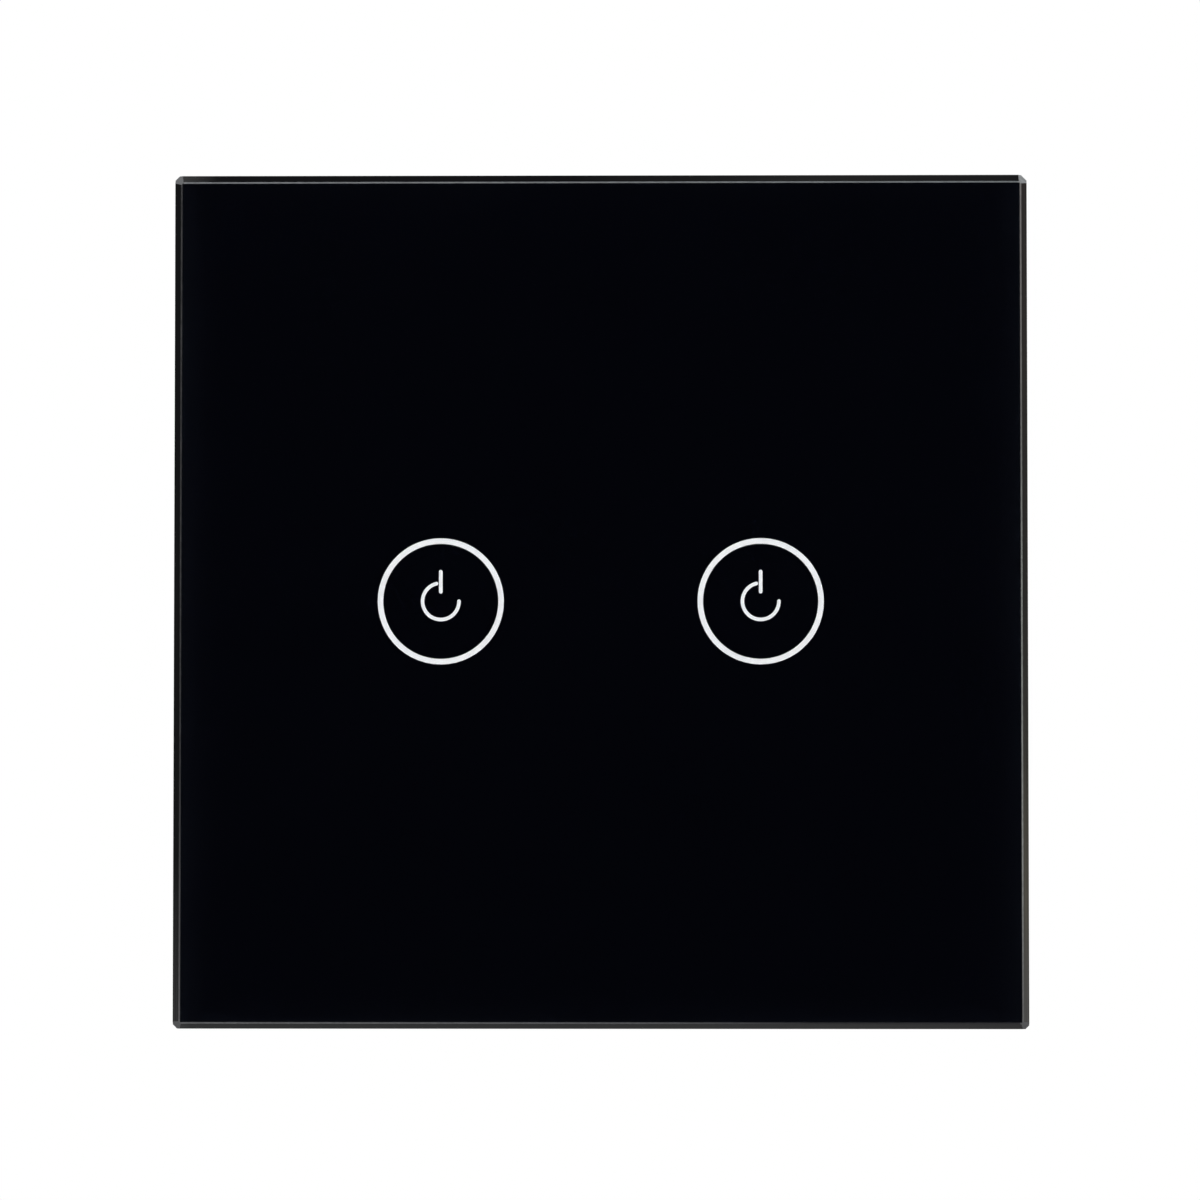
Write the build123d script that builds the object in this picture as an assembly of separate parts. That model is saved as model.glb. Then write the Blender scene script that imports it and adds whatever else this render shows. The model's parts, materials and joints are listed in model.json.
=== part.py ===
from build123d import *
import math
import os

# A two-key glass touch light switch for a square wall box, in millimetres.
#
# It stands as it hangs on a wall. +Z is up, +X is to the right of a person who faces the switch,
# and -Y points out of the wall towards that person. The origin is the centre of the wall plane:
# the base plate rests on the wall at y = 0, the glass is in front of it, and the rear housing
# reaches back into the wall box.
#
# A glass plate with a printed back is taped to a moulded frame, which snaps on the base plate.
# Two touch springs on a front board press towards the glass. A second board behind it carries
# the supply, two relays and a row of rising-clamp wire terminals.

# Glass front
GLASS_SIZE = 86.0
GLASS_THICKNESS = 3.0
GLASS_BEVEL = 0.62
GLASS_BACK_ARRIS = 0.2
GLASS_CORNER_CUT = 0.55
FRONT_PROJECTION = 10.0

# Print on the back of the glass, black first and white patches behind its ring-shaped windows
INK_THICKNESS = 0.08
INK_INSET = 0.2
INK_CORNER_CUT = 0.2
KEY_SPACING = 32.3
KEY_RING_DIAMETER = 12.75
KEY_RING_STROKE = 0.62
WHITE_INK_LAP = 0.35

# Tape that bonds the glass to the panel frame
TAPE_THICKNESS = 0.5
TAPE_WIDTH = 7.0
TAPE_INSET = 1.2

# Panel frame
FRAME_INSET = 0.6
FRAME_WEB = 1.4
FRAME_WALL = 1.6
FRAME_CORNER_RADIUS = 2.4
FRAME_REAR_ARRIS = 0.4
FRAME_WALL_GAP = 0.4
FRAME_WINDOW_CLEARANCE = 1.6
FRAME_RIB = 1.0
FRAME_RIB_GAP = 0.3
FRAME_RIB_SPACING = 56.0
PRY_NOTCH_WIDTH = 12.0
PRY_NOTCH_DEPTH = 1.3

# Snap hooks of the panel frame
HOOK_INSET = 5.8
HOOK_SPACING_Z = 36.0
HOOK_THICKNESS = 1.2
HOOK_WIDTH = 7.0
HOOK_NOSE = 0.6
HOOK_NOSE_HEIGHT = 0.7
HOOK_CLEARANCE = 0.15

# Base plate
BASE_CLEARANCE = 0.5
BASE_FLANGE = 2.0
BASE_CORNER_RADIUS = 2.0
BASE_RIM = 1.4
BASE_RIB = 1.0
BASE_RIB_DROP = 0.6
BASE_RIB_SPACING_X = 26.0
BASE_RIB_SPACING_Z = 16.0
DECK_GAP = 0.8
DECK_THICKNESS = 1.6
DECK_WALL = 1.6
DECK_WINDOW_CLEARANCE = 1.1
WALL_SLOT_RADIUS = 2.0
PEG_SIZE = 2.4
PEG_SPACING = 18.0

# The slots for the wall screws lie in the land beside the rear housing. It is 14.9 wide, so their
# centres are 60.3 apart, which is the spacing of the lugs of a square wall box, and they are 7 long.
SLOT_PLACE_SHARE = 4.75 / 14.9
SLOT_RUN_SHARE = 3.0 / 14.9

# Front board, which carries the touch springs
TOUCH_BOARD_THICKNESS = 1.2
TOUCH_BOARD_GAP = 0.8
TOUCH_BOARD_CLEARANCE = 0.3
TOUCH_BOARD_MARGIN = 1.3
TOUCH_SCREW_GAP = 4.1
TOUCH_SCREW_RADIUS = 0.95
TOUCH_SCREW_HEAD_RADIUS = 1.8
TOUCH_SCREW_HEAD_HEIGHT = 1.1
TOUCH_PAD_SIZE = 3.6
PILOT_CLEARANCE = 0.05
SCREW_TIP_GAP = 0.4

# Flat sides of round forms that a thread or a coil hides
HIDDEN_SIDES = 12

# Touch springs, each one wire in open turns on a leg that stands in a board hole
SPRING_RADIUS = 5.2
SPRING_WIRE = 0.5
SPRING_TURNS = 3
SPRING_GLASS_GAP = 0.3
SPRING_BOARD_GAP = 0.12
SPRING_LEG = 0.5
SPRING_HOLE_CLEARANCE = 0.12
WIRE_SIDES = 4
QUARTERS = 4

# Light guides and lamps inside the springs
GUIDE_RADIUS = 4.0
GUIDE_WALL = 0.9
GUIDE_CAP = 0.8
GUIDE_GAP = 0.5
LED_LENGTH = 1.6
LED_WIDTH = 0.8
LED_HEIGHT = 0.6

# Chips: body, legs
CONTROLLER_LENGTH = 9.9
CONTROLLER_WIDTH = 3.9
CONTROLLER_HEIGHT = 1.5
CONTROLLER_STANDOFF = 0.15
CONTROLLER_LEGS = 8
CONTROLLER_PITCH = 1.27
LEG_WIDTH = 0.42
LEG_REACH = 1.0
LEG_THICKNESS = 0.3

# Pin header between the two boards
HEADER_PINS = 6
HEADER_SPACING = 2.5
HEADER_WIDTH = 2.5
HEADER_PIN = 0.64
HEADER_TAIL = 1.2
HEADER_EDGE = 3.2

# Power board
POWER_BOARD_DEPTH = 3.2
POWER_BOARD_THICKNESS = 1.6
POWER_BOARD_CLEARANCE = 0.3
PART_GAP = 1.4

# Rear housing
HOUSING_HEIGHT = 58.0
HOUSING_WALL = 1.6
HOUSING_CORNER_RADIUS = 3.0
HOUSING_REAR_BEVEL = 1.2
HOUSING_LEDGE = 1.2
HOUSING_LEDGE_LENGTH = 16.0
HOUSING_SEAT = 2.2
HOUSING_RECESS = 0.6
HOUSING_FIT = 0.3
VENT_COUNT = 5
VENT_PITCH = 2.4
VENT_WIDTH = 1.2
VENT_LENGTH = 10.0
NOTCH_DEPTH = 3.2
NOTCH_LAP = 5.0
REAR_GAP = 1.4
PILLAR_WALL = 0.9
PILLAR_FLOOR = 3.0

# Housing screws
HOUSING_SCREW_RADIUS = 1.3
HOUSING_SCREW_HEAD_RADIUS = 2.1
HOUSING_SCREW_HEAD_HEIGHT = 1.7
HOUSING_SCREW_CLEARANCE = 0.2
HOUSING_BOSS_WALL = 1.5

# Wire terminals with rising clamps
POLE_COUNT = 4
POLE_WIDTH = 9.3
POLE_GAP = 0.1
POLE_SIDE_GAP = 0.25
POLE_WALL = 1.05
POLE_FLOOR = 1.2
POLE_END_WALL = 1.3
POLE_LIP = 1.0
POLE_HEAD_RECESS = 0.9
ENTRY_BEVEL = 0.45
CAGE_LENGTH = 7.2
CAGE_WALL = 0.9
CAGE_NUT_WALL = 1.7
CAGE_CLEARANCE = 0.15
WIRE_GAP = 4.4
CLAMP_TRAVEL = 3.0
TONGUE_THICKNESS = 1.0
TONGUE_WIDTH = 3.6
TONGUE_GAP = 0.2
TONGUE_TAIL = 1.2
CLAMP_SCREW_RADIUS = 1.7
CLAMP_SCREW_HEAD_RADIUS = 2.8
CLAMP_SCREW_HEAD_HEIGHT = 2.2
CLAMP_SCREW_SLOT_WIDTH = 0.9
CLAMP_SCREW_SLOT_DEPTH = 1.1
THREAD_CLEARANCE = 0.06
RUNNING_CLEARANCE = 0.08

# Relays
RELAY_WIDTH = 10.2
RELAY_LENGTH = 19.0
RELAY_HEIGHT = 15.2
RELAY_CASE_WALL = 0.6
RELAY_CASE_CLEARANCE = 0.1
RELAY_BASE = 1.4
BOBBIN_SIZE = 8.0
BOBBIN_FLANGE = 0.7
WINDING_RADIUS = 3.6
WINDING_HEIGHT = 6.6
CORE_RADIUS = 1.5
POLE_FACE_RADIUS = 2.6
POLE_FACE_HEIGHT = 0.6
YOKE_THICKNESS = 1.0
YOKE_WIDTH = 7.0
ARMATURE_THICKNESS = 1.0
ARMATURE_WIDTH = 6.4
ARMATURE_GAP = 0.06
ARMATURE_SWING = 3.5
LEAF_THICKNESS = 0.25
LEAF_WIDTH = 4.0
LEAF_LEG = 6.0
LEAF_END_MARGIN = 0.9
CONTACT_RADIUS = 1.1
MOVING_CONTACT_HEIGHT = 1.2
FIXED_CONTACT_HEIGHT = 0.6
CONTACT_STRIP = 0.5

# Supply parts on the power board
TRANSFORMER_WIDTH = 12.6
TRANSFORMER_LENGTH = 12.0
TRANSFORMER_HEIGHT = 11.0
TRANSFORMER_LEG = 2.8
TRANSFORMER_CORE_DEPTH = 4.6
TRANSFORMER_BEVEL = 0.6
BOBBIN_PLATE = 1.2
FILM_CAP_WIDTH = 12.5
FILM_CAP_LENGTH = 6.0
FILM_CAP_HEIGHT = 11.0
INPUT_CAP_RADIUS = 4.6
INPUT_CAP_HEIGHT = 13.0
OUTPUT_CAP_RADIUS = 3.0
OUTPUT_CAP_HEIGHT = 10.0
CAP_GROOVE = 0.35
CAP_GROOVE_HEIGHT = 1.6
FILM_CAP_BEVEL = 0.5
RECTIFIER_WIDTH = 4.7
RECTIFIER_LENGTH = 4.0
RECTIFIER_HEIGHT = 2.5
FUSE_RADIUS = 1.7
FUSE_LENGTH = 9.0
LEAD = 0.6
FUSE_LEAD_REACH = 1.6
FUSE_STANDOFF = 0.6
VARISTOR_RADIUS = 4.0
VARISTOR_THICKNESS = 3.4
VARISTOR_STANDOFF = 1.0
VARISTOR_LEAD_SPACING = 5.0

# One overrun serves every cut that has to leave its piece
OVERRUN = 1.0

# Depths, front to rear
glass_front = -FRONT_PROJECTION
glass_rear = glass_front + GLASS_THICKNESS
black_ink_rear = glass_rear + INK_THICKNESS
white_ink_rear = black_ink_rear + INK_THICKNESS
web_front = black_ink_rear + TAPE_THICKNESS
web_rear = web_front + FRAME_WEB
skirt_rear = -FRAME_WALL_GAP
deck_front = web_rear + DECK_GAP
deck_rear = deck_front + DECK_THICKNESS
touch_front = deck_rear + TOUCH_BOARD_GAP
touch_rear = touch_front + TOUCH_BOARD_THICKNESS
housing_front = -HOUSING_RECESS
power_front = POWER_BOARD_DEPTH
power_rear = power_front + POWER_BOARD_THICKNESS

# Depths inside a wire terminal, from the power board to its rear face
pocket_front = power_rear + POLE_FLOOR
cage_front = pocket_front + CAGE_CLEARANCE
wire_front = cage_front + CAGE_WALL
tongue_front = wire_front + WIRE_GAP
tongue_rear = tongue_front + TONGUE_THICKNESS
nut_front = tongue_rear + TONGUE_GAP
cage_rear = nut_front + CAGE_NUT_WALL
pocket_rear = cage_rear + CLAMP_TRAVEL + CAGE_CLEARANCE
lip_rear = pocket_rear + POLE_LIP
clamp_head_front = lip_rear + RUNNING_CLEARANCE
clamp_head_rear = clamp_head_front + CLAMP_SCREW_HEAD_HEIGHT
pole_rear = clamp_head_rear + POLE_HEAD_RECESS
relay_rear = power_rear + RELAY_HEIGHT
housing_inner_rear = max(relay_rear + REAR_GAP, pole_rear + NOTCH_DEPTH - HOUSING_WALL)
housing_rear = housing_inner_rear + HOUSING_WALL

# Widths and heights, as halves about the centre
frame_half = GLASS_SIZE / 2 - FRAME_INSET
frame_inner_half = frame_half - FRAME_WALL
base_half = frame_inner_half - BASE_CLEARANCE
key_x = KEY_SPACING / 2
spring_outer = SPRING_RADIUS + SPRING_WIRE / 2
touch_half_width = key_x + spring_outer + TOUCH_BOARD_MARGIN
cavity_half_width = touch_half_width + TOUCH_BOARD_CLEARANCE
pole_row_half = (POLE_COUNT * POLE_WIDTH + (POLE_COUNT - 1) * POLE_GAP) / 2
head_well_radius = HOUSING_SCREW_HEAD_RADIUS + HOUSING_SCREW_CLEARANCE
pillar_width = 2 * head_well_radius + 2 * PILLAR_WALL
notch_half = pole_row_half + POLE_SIDE_GAP
housing_half_width = max(notch_half + pillar_width, cavity_half_width + HOUSING_SEAT)
wall_land = base_half - housing_half_width
wall_slot_x = housing_half_width + SLOT_PLACE_SHARE * wall_land
wall_slot_length = 2 * WALL_SLOT_RADIUS + SLOT_RUN_SHARE * wall_land
housing_half_height = HOUSING_HEIGHT / 2
inner_half_width = housing_half_width - HOUSING_WALL
inner_half_height = housing_half_height - HOUSING_WALL
screw_x = housing_half_width - PILLAR_WALL - head_well_radius
screw_z = housing_half_height - PILLAR_WALL - head_well_radius
pilot_radius = HOUSING_SCREW_RADIUS + PILOT_CLEARANCE
boss_half = pilot_radius + HOUSING_BOSS_WALL
cavity_half_height = screw_z - boss_half - TOUCH_BOARD_CLEARANCE
touch_half_height = cavity_half_height - TOUCH_BOARD_CLEARANCE
deck_half_width = cavity_half_width + DECK_WALL
deck_half_height = cavity_half_height + DECK_WALL
board_half_width = inner_half_width - POWER_BOARD_CLEARANCE
board_half_height = inner_half_height - POWER_BOARD_CLEARANCE
pole_length = CAGE_LENGTH + 2 * CAGE_CLEARANCE + 2 * POLE_END_WALL
pole_bottom = -housing_half_height
pole_top = pole_bottom + pole_length
tongue_leg_top = pole_top + TONGUE_GAP + TONGUE_THICKNESS
frame_window = 2 * (spring_outer + FRAME_WINDOW_CLEARANCE)
deck_window = 2 * (spring_outer + DECK_WINDOW_CLEARANCE)


def facing(depth):
    """The plane at one depth, drawn on as a person in front of the switch sees it."""
    return Plane.XZ.offset(-depth)


def prism(sketch, front, rear):
    """A sketch seen from the front, made solid between two depths."""
    return extrude(facing(rear) * sketch, rear - front)


def block(x0, x1, y0, y1, z0, z1):
    """A block between two corners."""
    return Pos((x0 + x1) / 2, (y0 + y1) / 2, (z0 + z1) / 2) * Box(x1 - x0, y1 - y0, z1 - z0)


def centred(x, z, width, height, front, rear):
    """A block that is centred on x and z, between two depths."""
    return block(x - width / 2, x + width / 2, front, rear, z - height / 2, z + height / 2)


def rod(x, z, radius, front, rear):
    """A round rod along the depth."""
    return prism(Pos(x, z) * Circle(radius), front, rear)


def stud(x, z, radius, front, rear):
    """A rod or the hole for one, with flat sides, where a thread or a coil hides its round form."""
    return prism(Pos(x, z) * RegularPolygon(radius, HIDDEN_SIDES), front, rear)


def bore(x, z, radius, front, rear):
    """A cutter for a round hole that leaves both faces of its piece."""
    return rod(x, z, radius, front - OVERRUN, rear + OVERRUN)


def window(x, z, width, height, front, rear):
    """A cutter for a square-cornered hole that leaves both faces of its piece."""
    return centred(x, z, width, height, front - OVERRUN, rear + OVERRUN)


def mirrored(x, z):
    """The four places at plus and minus x and z."""
    return [(sx * x, sz * z) for sx in (-1, 1) for sz in (-1, 1)]


def joined(first, others):
    """One solid from a first one and the ones that touch it."""
    for other in others:
        first = first + other
    return first


def carved(solid, cutters):
    """A solid without what the cutters take away."""
    for cutter in cutters:
        solid = solid - cutter
    return solid


def group(solids):
    """Separate solids of one kind, kept as one node."""
    return Compound(children=[part for solid in solids for part in solid.solids()])


# Glass front

def glass_outline(inset, corner_cut):
    """The glass outline taken in by an inset, with its corners cut."""
    square = Rectangle(GLASS_SIZE - 2 * inset, GLASS_SIZE - 2 * inset)
    return chamfer(square.vertices(), corner_cut)


def glass_panel():
    """Toughened glass with a bevel round its face and cut corners."""
    plate = prism(glass_outline(0, GLASS_CORNER_CUT), glass_front, glass_rear)
    plate = chamfer(plate.faces().sort_by(Axis.Y)[0].edges(), GLASS_BEVEL)
    return chamfer(plate.faces().sort_by(Axis.Y)[-1].edges(), GLASS_BACK_ARRIS)


def ring(x, outer, width):
    """A flat ring about a key's centre."""
    return Pos(x, 0) * (Circle(outer) - Circle(outer - width))


def black_ink():
    """The black print, with a ring-shaped window for each key."""
    sheet = glass_outline(GLASS_BACK_ARRIS + INK_INSET, INK_CORNER_CUT)
    for x in (-key_x, key_x):
        sheet = sheet - ring(x, KEY_RING_DIAMETER / 2, KEY_RING_STROKE)
    return group([prism(sheet, glass_rear, black_ink_rear)])


def white_ink():
    """The white print behind the windows, a square patch for each key."""
    side = KEY_RING_DIAMETER + 2 * WHITE_INK_LAP
    return group([centred(x, 0, side, side, black_ink_rear, white_ink_rear) for x in (-key_x, key_x)])


def glass_tape():
    """A band of foam tape between the print and the panel frame."""
    outer = 2 * (frame_half - TAPE_INSET)
    inner = outer - 2 * TAPE_WIDTH
    return prism(Rectangle(outer, outer) - Rectangle(inner, inner), black_ink_rear, web_front)


def panel_frame():
    """The moulded frame behind the glass: a web with two square key windows and a skirt round it."""
    outline = RectangleRounded(2 * frame_half, 2 * frame_half, FRAME_CORNER_RADIUS)
    shell = prism(outline, web_front, skirt_rear)
    shell = chamfer(shell.faces().sort_by(Axis.Y)[-1].edges(), FRAME_REAR_ARRIS)
    inner_corner = max(FRAME_CORNER_RADIUS - FRAME_WALL, FRAME_REAR_ARRIS)
    hollow = RectangleRounded(2 * frame_inner_half, 2 * frame_inner_half, inner_corner)
    shell = shell - prism(hollow, web_rear, skirt_rear + OVERRUN)
    rib_half = FRAME_RIB_SPACING / 2
    rib_rear = deck_front - FRAME_RIB_GAP
    for z in (-rib_half, rib_half):
        shell = shell + centred(0, z, 2 * frame_inner_half, FRAME_RIB, web_rear, rib_rear)
    windows = [window(x, 0, frame_window, frame_window, web_front, web_rear) for x in (-key_x, key_x)]
    notch = block(
        -PRY_NOTCH_WIDTH / 2,
        PRY_NOTCH_WIDTH / 2,
        skirt_rear - PRY_NOTCH_DEPTH,
        skirt_rear + OVERRUN,
        -frame_half - OVERRUN,
        -frame_inner_half + OVERRUN,
    )
    return carved(shell, windows + [notch])


hook_x = frame_inner_half - HOOK_INSET
hook_z = HOOK_SPACING_Z / 2
hook_rear = skirt_rear
hook_outer = hook_x + HOOK_THICKNESS / 2
hook_inner = hook_x - HOOK_THICKNESS / 2
nose_front = hook_rear - HOOK_NOSE_HEIGHT
catch_rear = nose_front - HOOK_CLEARANCE


def snap_hooks():
    """Four flexible fingers behind the frame's web, each with a nose that grips the base plate."""
    profile = Polyline(
        (hook_inner, web_rear),
        (hook_outer, web_rear),
        (hook_outer, nose_front),
        (hook_outer + HOOK_NOSE, nose_front),
        (hook_outer, hook_rear),
        (hook_inner, hook_rear),
        close=True,
    )
    finger = extrude(make_face(profile), HOOK_WIDTH / 2, both=True)
    placed = []
    for z in (-hook_z, hook_z):
        right = Pos(0, 0, z) * finger
        placed += [right, mirror(right, about=Plane.YZ)]
    return group(placed)


# Base plate

def hook_slots():
    """Cutters for the hooks: a slot that lets a bent finger through, and a pocket for its nose."""
    cutters = []
    half_width = HOOK_WIDTH / 2 + HOOK_CLEARANCE
    inner = hook_inner - HOOK_NOSE - HOOK_CLEARANCE
    outer = hook_outer + HOOK_CLEARANCE
    nose_outer = hook_outer + HOOK_NOSE + HOOK_CLEARANCE
    for z in (-hook_z, hook_z):
        slot = block(inner, outer, deck_front, OVERRUN, z - half_width, z + half_width)
        pocket = block(inner, nose_outer, catch_rear, OVERRUN, z - half_width, z + half_width)
        cutters += [slot + pocket, mirror(slot + pocket, about=Plane.YZ)]
    return cutters


def base_ribs():
    """Thin ribs from the deck to the rim, left, right, above and below."""
    ribs = []
    front = deck_front + BASE_RIB_DROP
    reach = base_half - BASE_RIM
    for side in (-1, 1):
        for z in (-BASE_RIB_SPACING_Z / 2, BASE_RIB_SPACING_Z / 2):
            ends = sorted((side * deck_half_width, side * reach))
            ribs.append(block(ends[0], ends[1], front, -BASE_FLANGE, z - BASE_RIB / 2, z + BASE_RIB / 2))
        for x in (-BASE_RIB_SPACING_X / 2, BASE_RIB_SPACING_X / 2):
            ends = sorted((side * deck_half_height, side * reach))
            ribs.append(block(x - BASE_RIB / 2, x + BASE_RIB / 2, front, -BASE_FLANGE, ends[0], ends[1]))
    return ribs


def housing_outline(margin):
    """The rear housing's outline, let out by a margin."""
    width = 2 * (housing_half_width + margin)
    height = 2 * (housing_half_height + margin)
    return RectangleRounded(width, height, HOUSING_CORNER_RADIUS + margin)


def base_plate():
    """The wall plate: a flange with a rim, and a raised deck that covers the front board."""
    outer = RectangleRounded(2 * base_half, 2 * base_half, BASE_CORNER_RADIUS)
    inner = Rectangle(2 * (base_half - BASE_RIM), 2 * (base_half - BASE_RIM))
    deck = Rectangle(2 * deck_half_width, 2 * deck_half_height)
    plate = prism(outer, -BASE_FLANGE, 0) + prism(outer - inner, deck_front, -BASE_FLANGE)
    plate = plate + prism(deck, deck_front, -BASE_FLANGE)
    boss = 2 * boss_half
    bosses = [centred(x, z, boss, boss, deck_front, -BASE_FLANGE) for x, z in mirrored(screw_x, screw_z)]
    plate = joined(plate, base_ribs() + bosses)
    cavity = Rectangle(2 * cavity_half_width, 2 * cavity_half_height)
    plate = plate - prism(cavity, deck_rear, OVERRUN)
    plate = plate - prism(housing_outline(HOUSING_FIT), housing_front, OVERRUN)
    return carved(joined(plate, board_supports()), base_holes() + hook_slots())


def board_supports():
    """Pads that the front board rests on, and pegs that carry the power board."""
    pad_x = touch_half_width - TOUCH_PAD_SIZE / 2
    pad_z = touch_half_height - TOUCH_PAD_SIZE / 2
    places = mirrored(pad_x, pad_z) + [(0, -touch_screw_z), (0, touch_screw_z)]
    pads = [centred(x, z, TOUCH_PAD_SIZE, TOUCH_PAD_SIZE, deck_rear, touch_front) for x, z in places]
    peg_places = mirrored(PEG_SPACING / 2, screw_z)
    return pads + [centred(x, z, PEG_SIZE, PEG_SIZE, -BASE_FLANGE, power_front) for x, z in peg_places]


def base_holes():
    """Cutters for the key windows, the screws' pilot holes and the slots for the wall screws."""
    windows = [window(x, 0, deck_window, deck_window, deck_front, deck_rear) for x in (-key_x, key_x)]
    floor = deck_front + SCREW_TIP_GAP
    pilots = [stud(x, z, pilot_radius, floor, OVERRUN) for x, z in mirrored(screw_x, screw_z)]
    touch_pilot = TOUCH_SCREW_RADIUS + PILOT_CLEARANCE
    for z in (-touch_screw_z, touch_screw_z):
        pilots.append(stud(0, z, touch_pilot, floor, touch_front + OVERRUN))
    slot = SlotOverall(wall_slot_length, 2 * WALL_SLOT_RADIUS)
    places = (-wall_slot_x, wall_slot_x)
    return windows + pilots + [prism(Pos(x, 0) * slot, deck_front, OVERRUN) for x in places]


# Front board and what stands on it

header_z = touch_half_height - HEADER_EDGE
touch_screw_z = header_z - HEADER_WIDTH / 2 - TOUCH_SCREW_HEAD_RADIUS - TOUCH_SCREW_GAP


def header_places():
    """The x of each pin of the header."""
    first = -(HEADER_PINS - 1) * HEADER_SPACING / 2
    return [first + n * HEADER_SPACING for n in range(HEADER_PINS)]


def pin_holes(front, rear):
    """Square holes for the header's pins through a board."""
    side = HEADER_PIN + 2 * SPRING_HOLE_CLEARANCE
    return [window(x, header_z, side, side, front, rear) for x in header_places()]


def touch_board():
    """The front board, with holes for its screws, the header and the springs' legs."""
    board = centred(0, 0, 2 * touch_half_width, 2 * touch_half_height, touch_front, touch_rear)
    hole = TOUCH_SCREW_RADIUS + HOUSING_SCREW_CLEARANCE
    front = touch_front - OVERRUN
    rear = touch_rear + OVERRUN
    cutters = [stud(0, z, hole, front, rear) for z in (-touch_screw_z, touch_screw_z)]
    leg_hole = SPRING_WIRE + 2 * SPRING_HOLE_CLEARANCE
    for x in (-key_x, key_x):
        cutters.append(window(x + SPRING_RADIUS, -SPRING_WIRE, leg_hole, leg_hole, touch_front, touch_rear))
    return carved(board, cutters + pin_holes(touch_front, touch_rear))


def touch_board_screws():
    """Two small screws that hold the front board to the deck."""
    screws = []
    for z in (-touch_screw_z, touch_screw_z):
        shank = stud(0, z, TOUCH_SCREW_RADIUS, deck_front + 2 * SCREW_TIP_GAP, touch_rear)
        head = rod(0, z, TOUCH_SCREW_HEAD_RADIUS, touch_rear, touch_rear + TOUCH_SCREW_HEAD_HEIGHT)
        screws.append(shank + head)
    return group(screws)


def biarc(start, start_direction, end, end_direction):
    """Two arcs that leave one point and reach another in the given directions."""
    reach = end - start
    both = start_direction + end_direction
    bend = 2 * (1 - start_direction.dot(end_direction))
    along = reach.dot(both)
    arm = (math.sqrt(along * along + bend * reach.dot(reach)) - along) / bend
    first_corner = start + start_direction * arm
    last_corner = end - end_direction * arm
    middle = (first_corner + last_corner) * 0.5
    middle_direction = (last_corner - first_corner).normalized()
    first = TangentArc(start, middle, tangent=start_direction)
    return [first, TangentArc(middle, end, tangent=middle_direction)]


def spring_point(angle, base, pitch):
    """A point of the spring's centreline and its direction there, angle in radians from the leg."""
    x = SPRING_RADIUS * math.cos(angle)
    z = SPRING_RADIUS * math.sin(angle)
    y = base - pitch * angle / (2 * math.pi)
    slope = pitch / (2 * math.pi * SPRING_RADIUS)
    direction = Vector(-math.sin(angle), -slope, math.cos(angle)).normalized()
    return Vector(x, y, z), direction


def touch_spring(x):
    """A touch spring: a straight leg, an elbow and open turns, as one wire of flat sides."""
    base = touch_front - SPRING_WIRE / 2 - SPRING_BOARD_GAP
    top = black_ink_rear + SPRING_GLASS_GAP + SPRING_WIRE / 2
    pitch = (base - top) / SPRING_TURNS
    rearward = Vector(0, 1, 0)
    first, direction = spring_point(0, base, pitch)
    elbow = first - direction * SPRING_WIRE + rearward * SPRING_WIRE
    path = [Line(elbow + rearward * SPRING_LEG, elbow)]
    path += biarc(elbow, rearward * -1, first, direction)
    step = 2 * math.pi / QUARTERS
    for n in range(SPRING_TURNS * QUARTERS):
        start, start_direction = spring_point(n * step, base, pitch)
        end, end_direction = spring_point((n + 1) * step, base, pitch)
        path += biarc(start, start_direction, end, end_direction)
    foot = Plane(origin=elbow + rearward * SPRING_LEG, z_dir=rearward * -1)
    section = foot * RegularPolygon(SPRING_WIRE / 2, WIRE_SIDES)
    return Pos(x, 0, 0) * sweep(section, path=Wire(path))


def spring_gap():
    """The least gap between two turns of a spring, measured on points of its centreline."""
    base = touch_front - SPRING_WIRE / 2 - SPRING_BOARD_GAP
    top = black_ink_rear + SPRING_GLASS_GAP + SPRING_WIRE / 2
    pitch = (base - top) / SPRING_TURNS
    per_turn = QUARTERS * QUARTERS
    angles = [2 * math.pi * n / per_turn for n in range(SPRING_TURNS * per_turn + 1)]
    points = [spring_point(angle, base, pitch)[0] for angle in angles]
    far = per_turn // 2
    return min((a - b).length for i, a in enumerate(points) for b in points[i + far:]) - SPRING_WIRE


def light_guide(x):
    """A milky cup that stands over a key's lamps, with its closed end towards the glass."""
    front = white_ink_rear + GUIDE_GAP
    cup = rod(x, 0, GUIDE_RADIUS, front, touch_front)
    return cup - rod(x, 0, GUIDE_RADIUS - GUIDE_WALL, front + GUIDE_CAP, touch_front + OVERRUN)


def key_leds():
    """Two small lamps on the front board under each light guide."""
    front = touch_front - LED_HEIGHT
    places = [x + side * LED_WIDTH for x in (-key_x, key_x) for side in (-1, 1)]
    return group([centred(x, 0, LED_WIDTH, LED_LENGTH, front, touch_front) for x in places])


def touch_controller():
    """The touch chip on the back of the front board, with its two rows of legs."""
    z = -touch_screw_z / 2
    body_front = touch_rear + CONTROLLER_STANDOFF
    pieces = [centred(0, z, CONTROLLER_LENGTH, CONTROLLER_WIDTH, body_front, body_front + CONTROLLER_HEIGHT)]
    first = -(CONTROLLER_LEGS - 1) * CONTROLLER_PITCH / 2
    for n in range(CONTROLLER_LEGS):
        x = first + n * CONTROLLER_PITCH
        for side in (-1, 1):
            middle = z + side * (CONTROLLER_WIDTH + LEG_REACH) / 2
            pieces.append(centred(x, middle, LEG_WIDTH, LEG_REACH, touch_rear, touch_rear + LEG_THICKNESS))
    return group(pieces)


def header_strip():
    """The plastic strip that holds the header's pins and spaces the two boards."""
    length = HEADER_PINS * HEADER_SPACING
    strip = centred(0, header_z, length, HEADER_WIDTH, touch_rear, power_front)
    side = HEADER_PIN + SPRING_HOLE_CLEARANCE
    return carved(strip, [window(x, header_z, side, side, touch_rear, power_front) for x in header_places()])


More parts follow.
